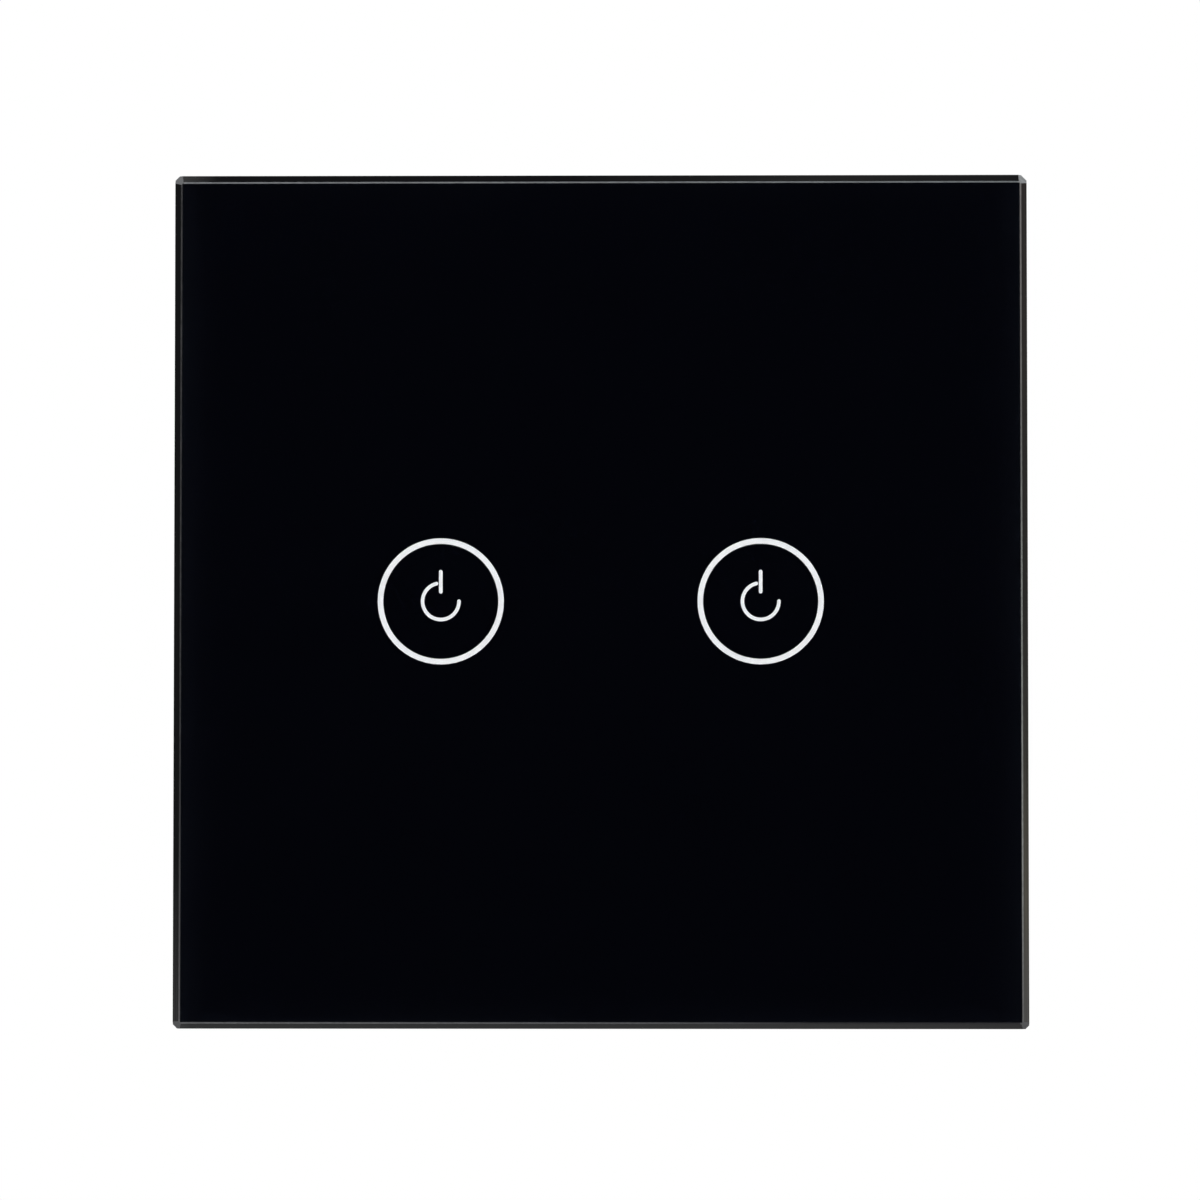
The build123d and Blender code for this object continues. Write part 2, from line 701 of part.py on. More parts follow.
def header_pins():
    """The square pins that join the two boards."""
    front = touch_front - SCREW_TIP_GAP
    rear = power_rear + HEADER_TAIL
    return group([centred(x, header_z, HEADER_PIN, HEADER_PIN, front, rear) for x in header_places()])


# Power board

def power_board():
    """The rear board, cut round the housing's four screw pillars."""
    board = centred(0, 0, 2 * board_half_width, 2 * board_half_height, power_front, power_rear)
    corner = pillar_width + POWER_BOARD_CLEARANCE
    corners = mirrored(housing_half_width, housing_half_height)
    cutters = [window(x, z, 2 * corner, 2 * corner, power_front, power_rear) for x, z in corners]
    return carved(board, cutters + pin_holes(power_front, power_rear) + terminal_pin_holes())


# Wire terminals

def pole_x(n):
    """The centre of terminal n, counted from the left."""
    return (n - (POLE_COUNT - 1) / 2) * (POLE_WIDTH + POLE_GAP)


cage_half_width = POLE_WIDTH / 2 - POLE_WALL - CAGE_CLEARANCE
wire_half_width = cage_half_width - CAGE_WALL
cage_bottom = pole_bottom + POLE_END_WALL + CAGE_CLEARANCE
cage_top = cage_bottom + CAGE_LENGTH
clamp_z = (cage_bottom + cage_top) / 2


def terminal_body(n):
    """One terminal moulding, with a pocket for the cage, a wire entry below and a screw well behind."""
    x = pole_x(n)
    half = POLE_WIDTH / 2
    body = block(x - half, x + half, power_rear, pole_rear, pole_bottom, pole_top)
    pocket_half = cage_half_width + CAGE_CLEARANCE
    pocket_bottom = cage_bottom - CAGE_CLEARANCE
    pocket_top = cage_top + CAGE_CLEARANCE
    pocket = block(x - pocket_half, x + pocket_half, pocket_front, pocket_rear, pocket_bottom, pocket_top)
    entry = block(
        x - wire_half_width,
        x + wire_half_width,
        wire_front,
        tongue_front,
        pole_bottom - OVERRUN,
        pocket_bottom + OVERRUN,
    )
    tongue_slot = block(
        x - TONGUE_WIDTH / 2 - CAGE_CLEARANCE,
        x + TONGUE_WIDTH / 2 + CAGE_CLEARANCE,
        tongue_front - CAGE_CLEARANCE,
        tongue_rear + CAGE_CLEARANCE,
        pocket_top - OVERRUN,
        pole_top + OVERRUN,
    )
    well = rod(x, clamp_z, CLAMP_SCREW_HEAD_RADIUS + CAGE_CLEARANCE, lip_rear, pole_rear + OVERRUN)
    throat = bore(x, clamp_z, CLAMP_SCREW_RADIUS + RUNNING_CLEARANCE, pocket_rear, lip_rear)
    body = carved(body, [pocket, entry, tongue_slot, well, throat])
    mouth = body.faces().sort_by(Axis.Z)[0].inner_wires()
    return chamfer([edge for wire in mouth for edge in wire.edges()], ENTRY_BEVEL)


def terminal_tongue(n):
    """The fixed contact: it reaches into the cage, turns down and is soldered in the power board."""
    x = pole_x(n)
    half = TONGUE_WIDTH / 2
    blade = block(x - half, x + half, tongue_front, tongue_rear, cage_bottom + CAGE_CLEARANCE, tongue_leg_top)
    leg_bottom = pole_top + TONGUE_GAP
    leg = block(x - half, x + half, power_rear, tongue_front, leg_bottom, tongue_leg_top)
    pin = block(x - half / 2, x + half / 2, power_front - TONGUE_TAIL, power_rear, leg_bottom, tongue_leg_top)
    return blade + leg + pin


def terminal_pin_holes():
    """Holes for the tongues' pins through the power board."""
    width = TONGUE_WIDTH / 2 + 2 * SPRING_HOLE_CLEARANCE
    height = TONGUE_THICKNESS + 2 * SPRING_HOLE_CLEARANCE
    z = tongue_leg_top - TONGUE_THICKNESS / 2
    return [window(pole_x(n), z, width, height, power_front, power_rear) for n in range(POLE_COUNT)]


def clamp_cage(n):
    """A square brass cage that a screw pulls towards its head, to grip a wire under the tongue."""
    x = pole_x(n)
    cage = block(x - cage_half_width, x + cage_half_width, cage_front, cage_rear, cage_bottom, cage_top)
    space = block(
        x - wire_half_width,
        x + wire_half_width,
        wire_front,
        nut_front,
        cage_bottom - OVERRUN,
        cage_top + OVERRUN,
    )
    thread_hole = bore(x, clamp_z, CLAMP_SCREW_RADIUS + THREAD_CLEARANCE, nut_front, cage_rear)
    return carved(cage, [space, thread_hole])


def clamp_screw(n):
    """The slotted screw that drives a cage. It turns in place, with its head in the well."""
    x = pole_x(n)
    tip = tongue_rear + TONGUE_GAP / 2
    shank = stud(x, clamp_z, CLAMP_SCREW_RADIUS, tip, clamp_head_front)
    head = rod(x, clamp_z, CLAMP_SCREW_HEAD_RADIUS, clamp_head_front, clamp_head_rear)
    slot = centred(
        x,
        clamp_z,
        2 * CLAMP_SCREW_HEAD_RADIUS + OVERRUN,
        CLAMP_SCREW_SLOT_WIDTH,
        clamp_head_rear - CLAMP_SCREW_SLOT_DEPTH,
        clamp_head_rear + OVERRUN,
    )
    return shank + head - slot


# Relays, each with its coil upright on the board and its armature hinged on the yoke's edge

relay_bottom = tongue_leg_top + PART_GAP
relay_top = relay_bottom + RELAY_LENGTH
relay_z = (relay_bottom + relay_top) / 2
relay_left_x = -board_half_width + POWER_BOARD_CLEARANCE + PART_GAP + RELAY_WIDTH / 2
relay_step = RELAY_WIDTH + PART_GAP
relay_inner_bottom = relay_bottom + RELAY_CASE_WALL + RELAY_CASE_CLEARANCE
relay_inner_top = relay_top - RELAY_CASE_WALL - RELAY_CASE_CLEARANCE
base_rear = power_rear + RELAY_BASE
leaf_leg_reach = LEAF_LEG * math.sin(math.radians(ARMATURE_SWING))
hinge_z = relay_inner_bottom + leaf_leg_reach + LEAF_THICKNESS + ARMATURE_GAP
coil_z = hinge_z + YOKE_THICKNESS + RELAY_CASE_CLEARANCE + BOBBIN_SIZE / 2
yoke_foot_rear = base_rear + YOKE_THICKNESS
bobbin_rear = yoke_foot_rear + 2 * BOBBIN_FLANGE + WINDING_HEIGHT
pole_face_rear = bobbin_rear + POLE_FACE_HEIGHT
hinge_y = pole_face_rear + ARMATURE_GAP
leaf_front = hinge_y + ARMATURE_THICKNESS
leaf_rear = leaf_front + LEAF_THICKNESS
leaf_end = relay_inner_top - LEAF_END_MARGIN
contact_z = leaf_end - CONTACT_RADIUS
moving_contact_front = leaf_front - MOVING_CONTACT_HEIGHT
fixed_contact_rear = moving_contact_front - ARMATURE_GAP


def relay_x(n):
    """The centre of relay n, counted from the left."""
    return relay_left_x + n * relay_step


def opened(shape):
    """Swings a piece of the armature from its closed place to its place at rest."""
    return shape.rotate(Axis((0, hinge_y, hinge_z), (1, 0, 0)), -ARMATURE_SWING)


def relay_case(n):
    """The thin cover over a relay, open towards the board."""
    x = relay_x(n)
    cover = centred(x, relay_z, RELAY_WIDTH, RELAY_LENGTH, power_rear, relay_rear)
    cover = chamfer(cover.faces().sort_by(Axis.Y)[-1].edges(), RELAY_CASE_WALL / 2)
    width = RELAY_WIDTH - 2 * RELAY_CASE_WALL
    length = RELAY_LENGTH - 2 * RELAY_CASE_WALL
    return cover - centred(x, relay_z, width, length, power_rear - OVERRUN, relay_rear - RELAY_CASE_WALL)


def relay_base(n):
    """The plate that closes a relay's case at the board."""
    width = RELAY_WIDTH - 2 * RELAY_CASE_WALL - 2 * RELAY_CASE_CLEARANCE
    length = relay_inner_top - relay_inner_bottom
    return centred(relay_x(n), relay_z, width, length, power_rear, base_rear)


def relay_bobbin(n):
    """A square-flanged bobbin with a bore for the core."""
    x = relay_x(n)
    low = centred(x, coil_z, BOBBIN_SIZE, BOBBIN_SIZE, yoke_foot_rear, yoke_foot_rear + BOBBIN_FLANGE)
    high = centred(x, coil_z, BOBBIN_SIZE, BOBBIN_SIZE, bobbin_rear - BOBBIN_FLANGE, bobbin_rear)
    tube = stud(x, coil_z, CORE_RADIUS + BOBBIN_FLANGE, yoke_foot_rear, bobbin_rear)
    hole = stud(x, coil_z, CORE_RADIUS + RUNNING_CLEARANCE, yoke_foot_rear - OVERRUN, bobbin_rear + OVERRUN)
    return low + high + tube - hole


def relay_winding(n):
    """The coil of wire on the bobbin, as one sleeve of its outer shape."""
    x = relay_x(n)
    front = yoke_foot_rear + BOBBIN_FLANGE
    rear = front + WINDING_HEIGHT
    inner = CORE_RADIUS + BOBBIN_FLANGE + RUNNING_CLEARANCE
    hole = stud(x, coil_z, inner, front - OVERRUN, rear + OVERRUN)
    return rod(x, coil_z, WINDING_RADIUS, front, rear) - hole


def relay_core(n):
    """The iron core, riveted in the yoke's foot, with a wider pole face."""
    x = relay_x(n)
    stem = stud(x, coil_z, CORE_RADIUS, yoke_foot_rear, bobbin_rear)
    return stem + rod(x, coil_z, POLE_FACE_RADIUS, bobbin_rear, pole_face_rear)


def relay_yoke(n):
    """The L-shaped iron yoke, a foot under the coil and a wall up to the armature's edge."""
    x = relay_x(n)
    half = YOKE_WIDTH / 2
    wall_top = hinge_z + YOKE_THICKNESS
    foot = block(x - half, x + half, base_rear, yoke_foot_rear, hinge_z, coil_z + BOBBIN_SIZE / 2)
    wall = block(x - half, x + half, base_rear, hinge_y - ARMATURE_GAP, hinge_z, wall_top)
    return foot + wall


def relay_armature(n):
    """The iron plate that the core pulls, hinged on the yoke's outer edge and shown released."""
    x = relay_x(n)
    half = ARMATURE_WIDTH / 2
    plate = block(x - half, x + half, hinge_y, leaf_front, hinge_z, coil_z + BOBBIN_SIZE / 2)
    return opened(plate)


def relay_leaf(n):
    """The bent leaf that returns the armature and carries the moving contact at its end."""
    x = relay_x(n)
    half = LEAF_WIDTH / 2
    outer = hinge_z - ARMATURE_GAP - LEAF_THICKNESS
    arm = block(x - half, x + half, leaf_front, leaf_rear, outer, leaf_end)
    arm = fillet(arm.edges().filter_by(Axis.Y).group_by(Axis.Z)[-1], CONTACT_RADIUS)
    button = rod(x, contact_z, CONTACT_RADIUS, moving_contact_front, leaf_front)
    leg = block(x - half, x + half, hinge_y - LEAF_LEG, leaf_rear, outer, hinge_z - ARMATURE_GAP)
    return opened(arm + button) + leg


def relay_fixed_contact(n):
    """The fixed contact: a button on a strip that stands on the relay's base."""
    x = relay_x(n)
    half = LEAF_WIDTH / 2
    strip_rear = fixed_contact_rear - FIXED_CONTACT_HEIGHT
    strip_front = strip_rear - CONTACT_STRIP
    end = contact_z + CONTACT_RADIUS
    arm = block(x - half, x + half, strip_front, strip_rear, contact_z - CONTACT_RADIUS, end)
    post = block(x - half, x + half, base_rear, strip_front, end - CONTACT_STRIP, end)
    button = rod(x, contact_z, CONTACT_RADIUS, strip_rear, fixed_contact_rear)
    return arm + post + button


# Supply parts

right_edge = board_half_width - POWER_BOARD_CLEARANCE - PART_GAP
transformer_x = right_edge - TRANSFORMER_WIDTH / 2
film_cap_x = right_edge - FILM_CAP_WIDTH / 2
film_cap_z = relay_bottom + FILM_CAP_LENGTH / 2
transformer_bottom = relay_bottom + FILM_CAP_LENGTH + PART_GAP
transformer_z = transformer_bottom + TRANSFORMER_LENGTH / 2
output_cap_z = transformer_bottom + TRANSFORMER_LENGTH + PART_GAP + OUTPUT_CAP_RADIUS
output_cap_x = right_edge - OUTPUT_CAP_RADIUS
input_cap_z = relay_top + PART_GAP + INPUT_CAP_RADIUS
input_cap_x = relay_left_x
varistor_x = relay_x(1)
varistor_z = relay_top + PART_GAP + VARISTOR_THICKNESS / 2
rectifier_x = output_cap_x - OUTPUT_CAP_RADIUS - PART_GAP - RECTIFIER_WIDTH / 2
fuse_z = board_half_height - PART_GAP - FUSE_RADIUS


def transformer_core():
    """A ferrite frame round the windings: two outer legs joined by a bridge at each end."""
    x = transformer_x
    front = power_rear + BOBBIN_PLATE
    rear = power_rear + TRANSFORMER_HEIGHT
    core = centred(x, transformer_z, TRANSFORMER_WIDTH, TRANSFORMER_CORE_DEPTH, front, rear)
    core = chamfer(core.edges().filter_by(Axis.Z), TRANSFORMER_BEVEL)
    inner_width = TRANSFORMER_WIDTH - 2 * TRANSFORMER_LEG
    inner_front = front + TRANSFORMER_LEG / 2
    inner_rear = rear - TRANSFORMER_LEG / 2
    depth = TRANSFORMER_CORE_DEPTH + OVERRUN
    return core - centred(x, transformer_z, inner_width, depth, inner_front, inner_rear)


def transformer_winding():
    """The bobbin and taped winding that sit in the ferrite frame, on a pin plate."""
    x = transformer_x
    plate_rear = power_rear + BOBBIN_PLATE
    plate = centred(x, transformer_z, TRANSFORMER_WIDTH, TRANSFORMER_LENGTH, power_rear, plate_rear)
    front = plate_rear + TRANSFORMER_LEG / 2 + RUNNING_CLEARANCE
    rear = power_rear + TRANSFORMER_HEIGHT - TRANSFORMER_LEG / 2 - RUNNING_CLEARANCE
    width = TRANSFORMER_WIDTH - 2 * TRANSFORMER_LEG - 2 * RUNNING_CLEARANCE
    length = TRANSFORMER_LENGTH - 2 * TRANSFORMER_BEVEL
    winding = centred(x, transformer_z, width, length, front, rear)
    inner = TRANSFORMER_CORE_DEPTH / 2 + RUNNING_CLEARANCE
    foot_length = length / 2 - inner
    places = [transformer_z + side * (inner + foot_length / 2) for side in (-1, 1)]
    return joined(plate, [centred(x, z, width, foot_length, plate_rear, front) for z in places]) + winding


def film_capacitor():
    """The box-shaped suppression capacitor at the mains side."""
    rear = power_rear + FILM_CAP_HEIGHT
    body = centred(film_cap_x, film_cap_z, FILM_CAP_WIDTH, FILM_CAP_LENGTH, power_rear, rear)
    return chamfer(body.faces().sort_by(Axis.Y)[-1].edges(), FILM_CAP_BEVEL)


def can_capacitor(x, z, radius, height):
    """A round capacitor in its sleeve, with the rolled groove near its foot."""
    foot = power_rear
    top = foot + height
    groove = foot + CAP_GROOVE_HEIGHT
    profile = Polyline(
        (0, foot),
        (radius, foot),
        (radius, groove - CAP_GROOVE),
        (radius - CAP_GROOVE, groove),
        (radius, groove + CAP_GROOVE),
        (radius, top),
        (0, top),
        close=True,
    )
    return Pos(x, 0, z) * revolve(make_face(profile), Axis.Y)


def rectifier():
    """The small bridge rectifier beside the output capacitor."""
    rear = power_rear + RECTIFIER_HEIGHT
    body = centred(rectifier_x, output_cap_z, RECTIFIER_WIDTH, RECTIFIER_LENGTH, power_rear, rear)
    return chamfer(body.faces().sort_by(Axis.Y)[-1].edges(), LEG_THICKNESS)


def fuse_resistor():
    """The fusible resistor that lies across the top of the board on bent leads."""
    lie = power_rear + FUSE_STANDOFF + FUSE_RADIUS
    body = Pos(0, lie, fuse_z) * (Rot(0, 90, 0) * Cylinder(FUSE_RADIUS, FUSE_LENGTH))
    half = LEAD / 2
    leads = []
    for side in (-1, 1):
        near = side * FUSE_LENGTH / 2
        far = near + side * FUSE_LEAD_REACH
        ends = sorted((near, far))
        leads.append(block(ends[0], ends[1], lie - half, lie + half, fuse_z - half, fuse_z + half))
        ends = sorted((far, far - side * LEAD))
        leads.append(block(ends[0], ends[1], power_rear, lie + half, fuse_z - half, fuse_z + half))
    return joined(body, leads)


def varistor():
    """The disc that takes mains surges, standing on two leads."""
    middle = power_rear + VARISTOR_STANDOFF + VARISTOR_RADIUS
    disc = Pos(varistor_x, middle, varistor_z) * Cylinder(VARISTOR_RADIUS, VARISTOR_THICKNESS)
    leads = []
    for side in (-1, 1):
        x = varistor_x + side * VARISTOR_LEAD_SPACING / 2
        leads.append(centred(x, varistor_z, LEAD, LEAD, power_rear, middle))
    return joined(disc, leads)


# Rear housing

def rear_housing():
    """The box that goes into the wall box: a shell with four screw pillars and a terminal notch."""
    shell = prism(housing_outline(0), housing_front, housing_rear)
    shell = chamfer(shell.faces().sort_by(Axis.Y)[-1].edges(), HOUSING_REAR_BEVEL)
    hollow = Rectangle(2 * inner_half_width, 2 * inner_half_height)
    for x, z in mirrored(housing_half_width, housing_half_height):
        hollow = hollow - Pos(x, z) * Rectangle(2 * pillar_width, 2 * pillar_width)
    shell = shell - prism(hollow, housing_front - OVERRUN, housing_inner_rear)
    step_bottom = pole_top + POLE_SIDE_GAP
    step_top = step_bottom + HOUSING_WALL
    step_front = pole_rear - NOTCH_LAP
    step = block(-notch_half, notch_half, step_front, housing_inner_rear, step_bottom, step_top)
    shell = joined(shell, [step] + board_ledges())
    below = -housing_half_height - OVERRUN
    notch = block(-notch_half, notch_half, power_rear, housing_rear + OVERRUN, below, step_bottom)
    cutters = [notch]
    hole = HOUSING_SCREW_RADIUS + HOUSING_SCREW_CLEARANCE
    for x, z in mirrored(screw_x, screw_z):
        cutters.append(rod(x, z, head_well_radius, PILLAR_FLOOR, housing_rear + OVERRUN))
        cutters.append(stud(x, z, hole, housing_front - OVERRUN, PILLAR_FLOOR + OVERRUN))
    return carved(shell, cutters + vent_slots())


def board_ledges():
    """Two ribs inside the housing's side walls that hold the power board from behind."""
    ledges = []
    half = HOUSING_LEDGE_LENGTH / 2
    for side in (-1, 1):
        ends = sorted((side * inner_half_width, side * (inner_half_width - HOUSING_LEDGE)))
        ledges.append(block(ends[0], ends[1], power_rear, housing_inner_rear, -half, half))
    return ledges


def vent_slots():
    """Cutters for the rows of narrow air slots in the housing's left and right walls."""
    middle_z = (HOUSING_LEDGE_LENGTH / 2 + housing_half_height - pillar_width) / 2
    middle_y = (power_rear + relay_rear) / 2
    front = middle_y - VENT_LENGTH / 2
    width = 2 * (housing_half_width + OVERRUN)
    places = [middle_z + (n - (VENT_COUNT - 1) / 2) * VENT_PITCH for n in range(VENT_COUNT)]
    return [centred(0, z, width, VENT_WIDTH, front, front + VENT_LENGTH) for z in places]


def housing_screws():
    """Four screws deep in the pillars that hold the rear housing to the base plate."""
    screws = []
    for x, z in mirrored(screw_x, screw_z):
        shank = stud(x, z, HOUSING_SCREW_RADIUS, deck_front + 2 * SCREW_TIP_GAP, PILLAR_FLOOR)
        head = rod(x, z, HOUSING_SCREW_HEAD_RADIUS, PILLAR_FLOOR, PILLAR_FLOOR + HOUSING_SCREW_HEAD_HEIGHT)
        screws.append(shank + head)
    return group(screws)


def build():
    """Every node of the switch, by name."""
    nodes = {
        "glass_panel": glass_panel(),
        "black_ink": black_ink(),
        "white_ink": white_ink(),
        "glass_tape": glass_tape(),
        "panel_frame": panel_frame(),
        "snap_hooks": snap_hooks(),
        "base_plate": base_plate(),
        "touch_board": touch_board(),
        "touch_board_screws": touch_board_screws(),
        "key_leds": key_leds(),
        "touch_controller": touch_controller(),
        "header_strip": header_strip(),
        "header_pins": header_pins(),
        "power_board": power_board(),
        "terminal_tongues": group([terminal_tongue(n) for n in range(POLE_COUNT)]),
        "transformer_core": transformer_core(),
        "transformer_winding": transformer_winding(),
        "film_capacitor": film_capacitor(),
        "input_capacitor": can_capacitor(input_cap_x, input_cap_z, INPUT_CAP_RADIUS, INPUT_CAP_HEIGHT),
        "output_capacitor": can_capacitor(output_cap_x, output_cap_z, OUTPUT_CAP_RADIUS, OUTPUT_CAP_HEIGHT),
        "rectifier": rectifier(),
        "fuse_resistor": fuse_resistor(),
        "varistor": varistor(),
        "rear_housing": rear_housing(),
        "housing_screws": housing_screws(),
    }
    for side, x in (("left", -key_x), ("right", key_x)):
        nodes[f"touch_spring_{side}"] = touch_spring(x)
        nodes[f"light_guide_{side}"] = light_guide(x)
    for n in range(POLE_COUNT):
        nodes[f"terminal_body_{n + 1}"] = terminal_body(n)
        nodes[f"clamp_cage_{n + 1}"] = clamp_cage(n)
        nodes[f"clamp_screw_{n + 1}"] = clamp_screw(n)
    for n, side in enumerate(("left", "right")):
        nodes[f"relay_{side}_case"] = relay_case(n)
        nodes[f"relay_{side}_base"] = relay_base(n)
        nodes[f"relay_{side}_bobbin"] = relay_bobbin(n)
        nodes[f"relay_{side}_winding"] = relay_winding(n)
        nodes[f"relay_{side}_core"] = relay_core(n)
        nodes[f"relay_{side}_yoke"] = relay_yoke(n)
        nodes[f"relay_{side}_armature"] = relay_armature(n)
        nodes[f"relay_{side}_leaf"] = relay_leaf(n)
        nodes[f"relay_{side}_fixed_contact"] = relay_fixed_contact(n)
    return nodes


os.makedirs("parts", exist_ok=True)
for name, shape in build().items():
    export_step(shape, f"parts/{name}.step")
print("least gap between the turns of a touch spring:", round(spring_gap(), 3))
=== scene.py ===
"""Looks of a two-key touch light switch with a black glass front.

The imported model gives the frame. This file gives every node its finish, models the glass, the touch rings,
the power signs, the springs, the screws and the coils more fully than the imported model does, and sets the
camera and light.
"""

import functools
import json
import logging
import math
from collections.abc import Callable, Iterable, Iterator
from contextlib import contextmanager
from dataclasses import dataclass
from enum import Enum

import bmesh
import bpy
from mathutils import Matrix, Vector

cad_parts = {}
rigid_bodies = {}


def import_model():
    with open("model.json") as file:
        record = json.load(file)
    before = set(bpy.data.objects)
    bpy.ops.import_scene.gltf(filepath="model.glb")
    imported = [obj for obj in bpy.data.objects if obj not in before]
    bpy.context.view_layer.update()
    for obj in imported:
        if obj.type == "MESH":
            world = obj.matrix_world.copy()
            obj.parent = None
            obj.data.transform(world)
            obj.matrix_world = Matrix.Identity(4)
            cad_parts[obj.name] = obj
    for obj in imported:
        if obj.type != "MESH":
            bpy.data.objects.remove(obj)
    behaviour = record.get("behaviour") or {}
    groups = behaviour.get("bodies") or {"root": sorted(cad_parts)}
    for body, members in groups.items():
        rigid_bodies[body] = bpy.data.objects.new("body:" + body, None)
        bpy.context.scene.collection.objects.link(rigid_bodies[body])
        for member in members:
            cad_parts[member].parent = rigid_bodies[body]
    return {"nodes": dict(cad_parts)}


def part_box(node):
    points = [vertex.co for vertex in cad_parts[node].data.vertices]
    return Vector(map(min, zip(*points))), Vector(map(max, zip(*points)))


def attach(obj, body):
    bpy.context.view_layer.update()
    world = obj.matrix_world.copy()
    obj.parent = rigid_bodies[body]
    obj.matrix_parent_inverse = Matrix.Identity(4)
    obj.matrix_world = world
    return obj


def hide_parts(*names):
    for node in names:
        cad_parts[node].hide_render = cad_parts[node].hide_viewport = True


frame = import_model()

LOG = logging.getLogger("switch")
Colour = tuple[float, float, float]
Value = object  # a number, a colour or the socket of another node
Piece = bpy.types.Object

MM = 0.001
HALF_PLATE = 43 * MM
POLES = 4
MERGE = 0.002 * MM  # points closer than this are one
NEAR = 0.01 * MM  # places closer than this are the same
HAIR = 0.001 * MM  # points closer than this to a cut lie on it
FACING = 0.9  # the least share of its normal that a face has along the way it looks
QUARTER = math.pi / 2
NOISE_LOW, NOISE_HIGH = 0.3, 0.7  # where most of a noise's values lie
GLASS_IOR = 1.52
WHITE = (1.0, 1.0, 1.0, 1.0)


class Element(Enum):
    """What an edit-mode selection is made of."""

    VERTS = "VERT"
    EDGES = "EDGE"
    FACES = "FACE"


class Side(Enum):
    """The two halves of the switch, as a person in front of it sees them."""

    LEFT = "left"
    RIGHT = "right"


# ---- Modelling by hand ----


def only(piece: Piece) -> None:
    """Makes a piece the only selected and the active one.

    Args:
        piece: The piece that the next operators act on.
    """
    bpy.ops.object.select_all(action="DESELECT")
    piece.select_set(True)
    bpy.context.view_layer.objects.active = piece


def settled(piece: Piece, name: str) -> Piece:
    """Names a piece and puts its place, turn and scale into its mesh.

    Args:
        piece: An object that was placed, turned or scaled.
        name: Its name in the table of pieces.

    Returns:
        The same object, at the origin, unturned and unscaled.
    """
    only(piece)
    bpy.ops.object.transform_apply(location=True, rotation=True, scale=True)
    piece.name = name
    piece.data.name = name
    return piece


@contextmanager
def editing(piece: Piece) -> Iterator[None]:
    """Edit mode on one piece, with nothing selected at its start.

    Args:
        piece: The mesh object to edit.
    """
    only(piece)
    bpy.ops.object.mode_set(mode="EDIT")
    bpy.ops.mesh.select_all(action="DESELECT")
    try:
        yield
    finally:
        bpy.ops.object.mode_set(mode="OBJECT")


def pick_all() -> None:
    """Selects the whole of the edited piece."""
    bpy.ops.mesh.select_all(action="SELECT")


def pick(piece: Piece, element: Element, test: Callable[[object], bool]) -> None:
    """Selects the elements of an edited piece that pass a test, and nothing else.

    Args:
        piece: The piece in edit mode.
        element: The kind of element to select.
        test: Takes one BMesh vertex, edge or face and says whether it is wanted.
    """
    bpy.ops.mesh.select_mode(type=element.value)
    bpy.ops.mesh.select_all(action="DESELECT")
    mesh = bmesh.from_edit_mesh(piece.data)
    mesh.normal_update()
    for item in [item for item in getattr(mesh, element.name.lower()) if test(item)]:
        item.select_set(True)
    mesh.select_flush(True)
    bmesh.update_edit_mesh(piece.data)


def extrude(depth: float) -> None:
    """Extrudes the selection along the depth."""
    bpy.ops.mesh.extrude_region_move(TRANSFORM_OT_translate={"value": (0, depth, 0)})


def step(reach: float, inset: float, rise: float) -> None:
    """Extrudes the selected square or circle by a step and draws its outline in.

    Args:
        reach: Half its side, or its radius, before the step.
        inset: How far its outline moves inwards.
        rise: How far it moves along the depth.
    """
    extrude(rise)
    share = (reach - inset) / reach
    bpy.ops.transform.resize(value=(share, 1, share), center_override=(0, 0, 0))


def blunt(piece: Piece, depth: float, width: float, segments: int = 1) -> None:
    """Bevels the edges of an edited piece that lie at one depth."""
    pick(piece, Element.EDGES, lambda edge: all(abs(v.co.y - depth) < NEAR for v in edge.verts))
    bpy.ops.mesh.bevel(offset=width, segments=segments, affect="EDGES")


def cleaned(piece: Piece) -> Piece:
    """Merges doubles, closes small openings and turns the faces outwards.

    Args:
        piece: A piece whose mesh may be open or doubled at its seams.

    Returns:
        The piece.
    """
    with editing(piece):
        pick_all()
        bpy.ops.mesh.remove_doubles(threshold=MERGE)
        bpy.ops.mesh.fill_holes(sides=0)
        pick_all()
        bpy.ops.mesh.normals_make_consistent(inside=False)
    return piece


def smoothed(piece: Piece, degrees: float = 35.0) -> Piece:
    """Shades a piece smooth across edges that are blunter than an angle.

    Args:
        piece: The piece to shade.
        degrees: The angle from which an edge stays sharp.

    Returns:
        The piece.
    """
    only(piece)
    bpy.ops.object.shade_smooth_by_angle(angle=math.radians(degrees))
    return piece


def applied(piece: Piece, kind: str, **settings: object) -> Piece:
    """Gives a piece one modifier and applies it.

    Args:
        piece: The piece to finish.
        kind: The modifier's type.
        settings: The modifier's properties.

    Returns:
        The piece, with no modifier left on it.
    """
    only(piece)
    modifier = piece.modifiers.new(kind.title(), kind)
    for key, value in settings.items():
        setattr(modifier, key, value)
    bpy.ops.object.modifier_apply(modifier=modifier.name)
    return piece


def wound(piece: Piece, turns: float, rise: float, steps: int) -> Piece:
    """Winds a profile round the depth axis into a helix.

    Args:
        piece: The profile.
        turns: How often it goes round.
        rise: How far it climbs in all.
        steps: How many steps it takes in all.

    Returns:
        The helix, open at its ends.
    """
    return applied(
        piece, "SCREW", axis="Y", angle=-2 * math.pi * turns, screw_offset=rise, iterations=1,
        steps=steps, render_steps=steps, use_merge_vertices=False,
    )


def block(name: str, low: Iterable[float], high: Iterable[float]) -> Piece:
    """A cube primitive at its size and place.

    Args:
        name: The piece's name.
        low: Its lowest corner, in metres.
        high: Its highest corner, in metres.

    Returns:
        The block.
    """
    low, high = Vector(low), Vector(high)
    bpy.ops.mesh.primitive_cube_add(size=1.0, location=(low + high) / 2)
    piece = bpy.context.object
    piece.scale = high - low
    return settled(piece, name)


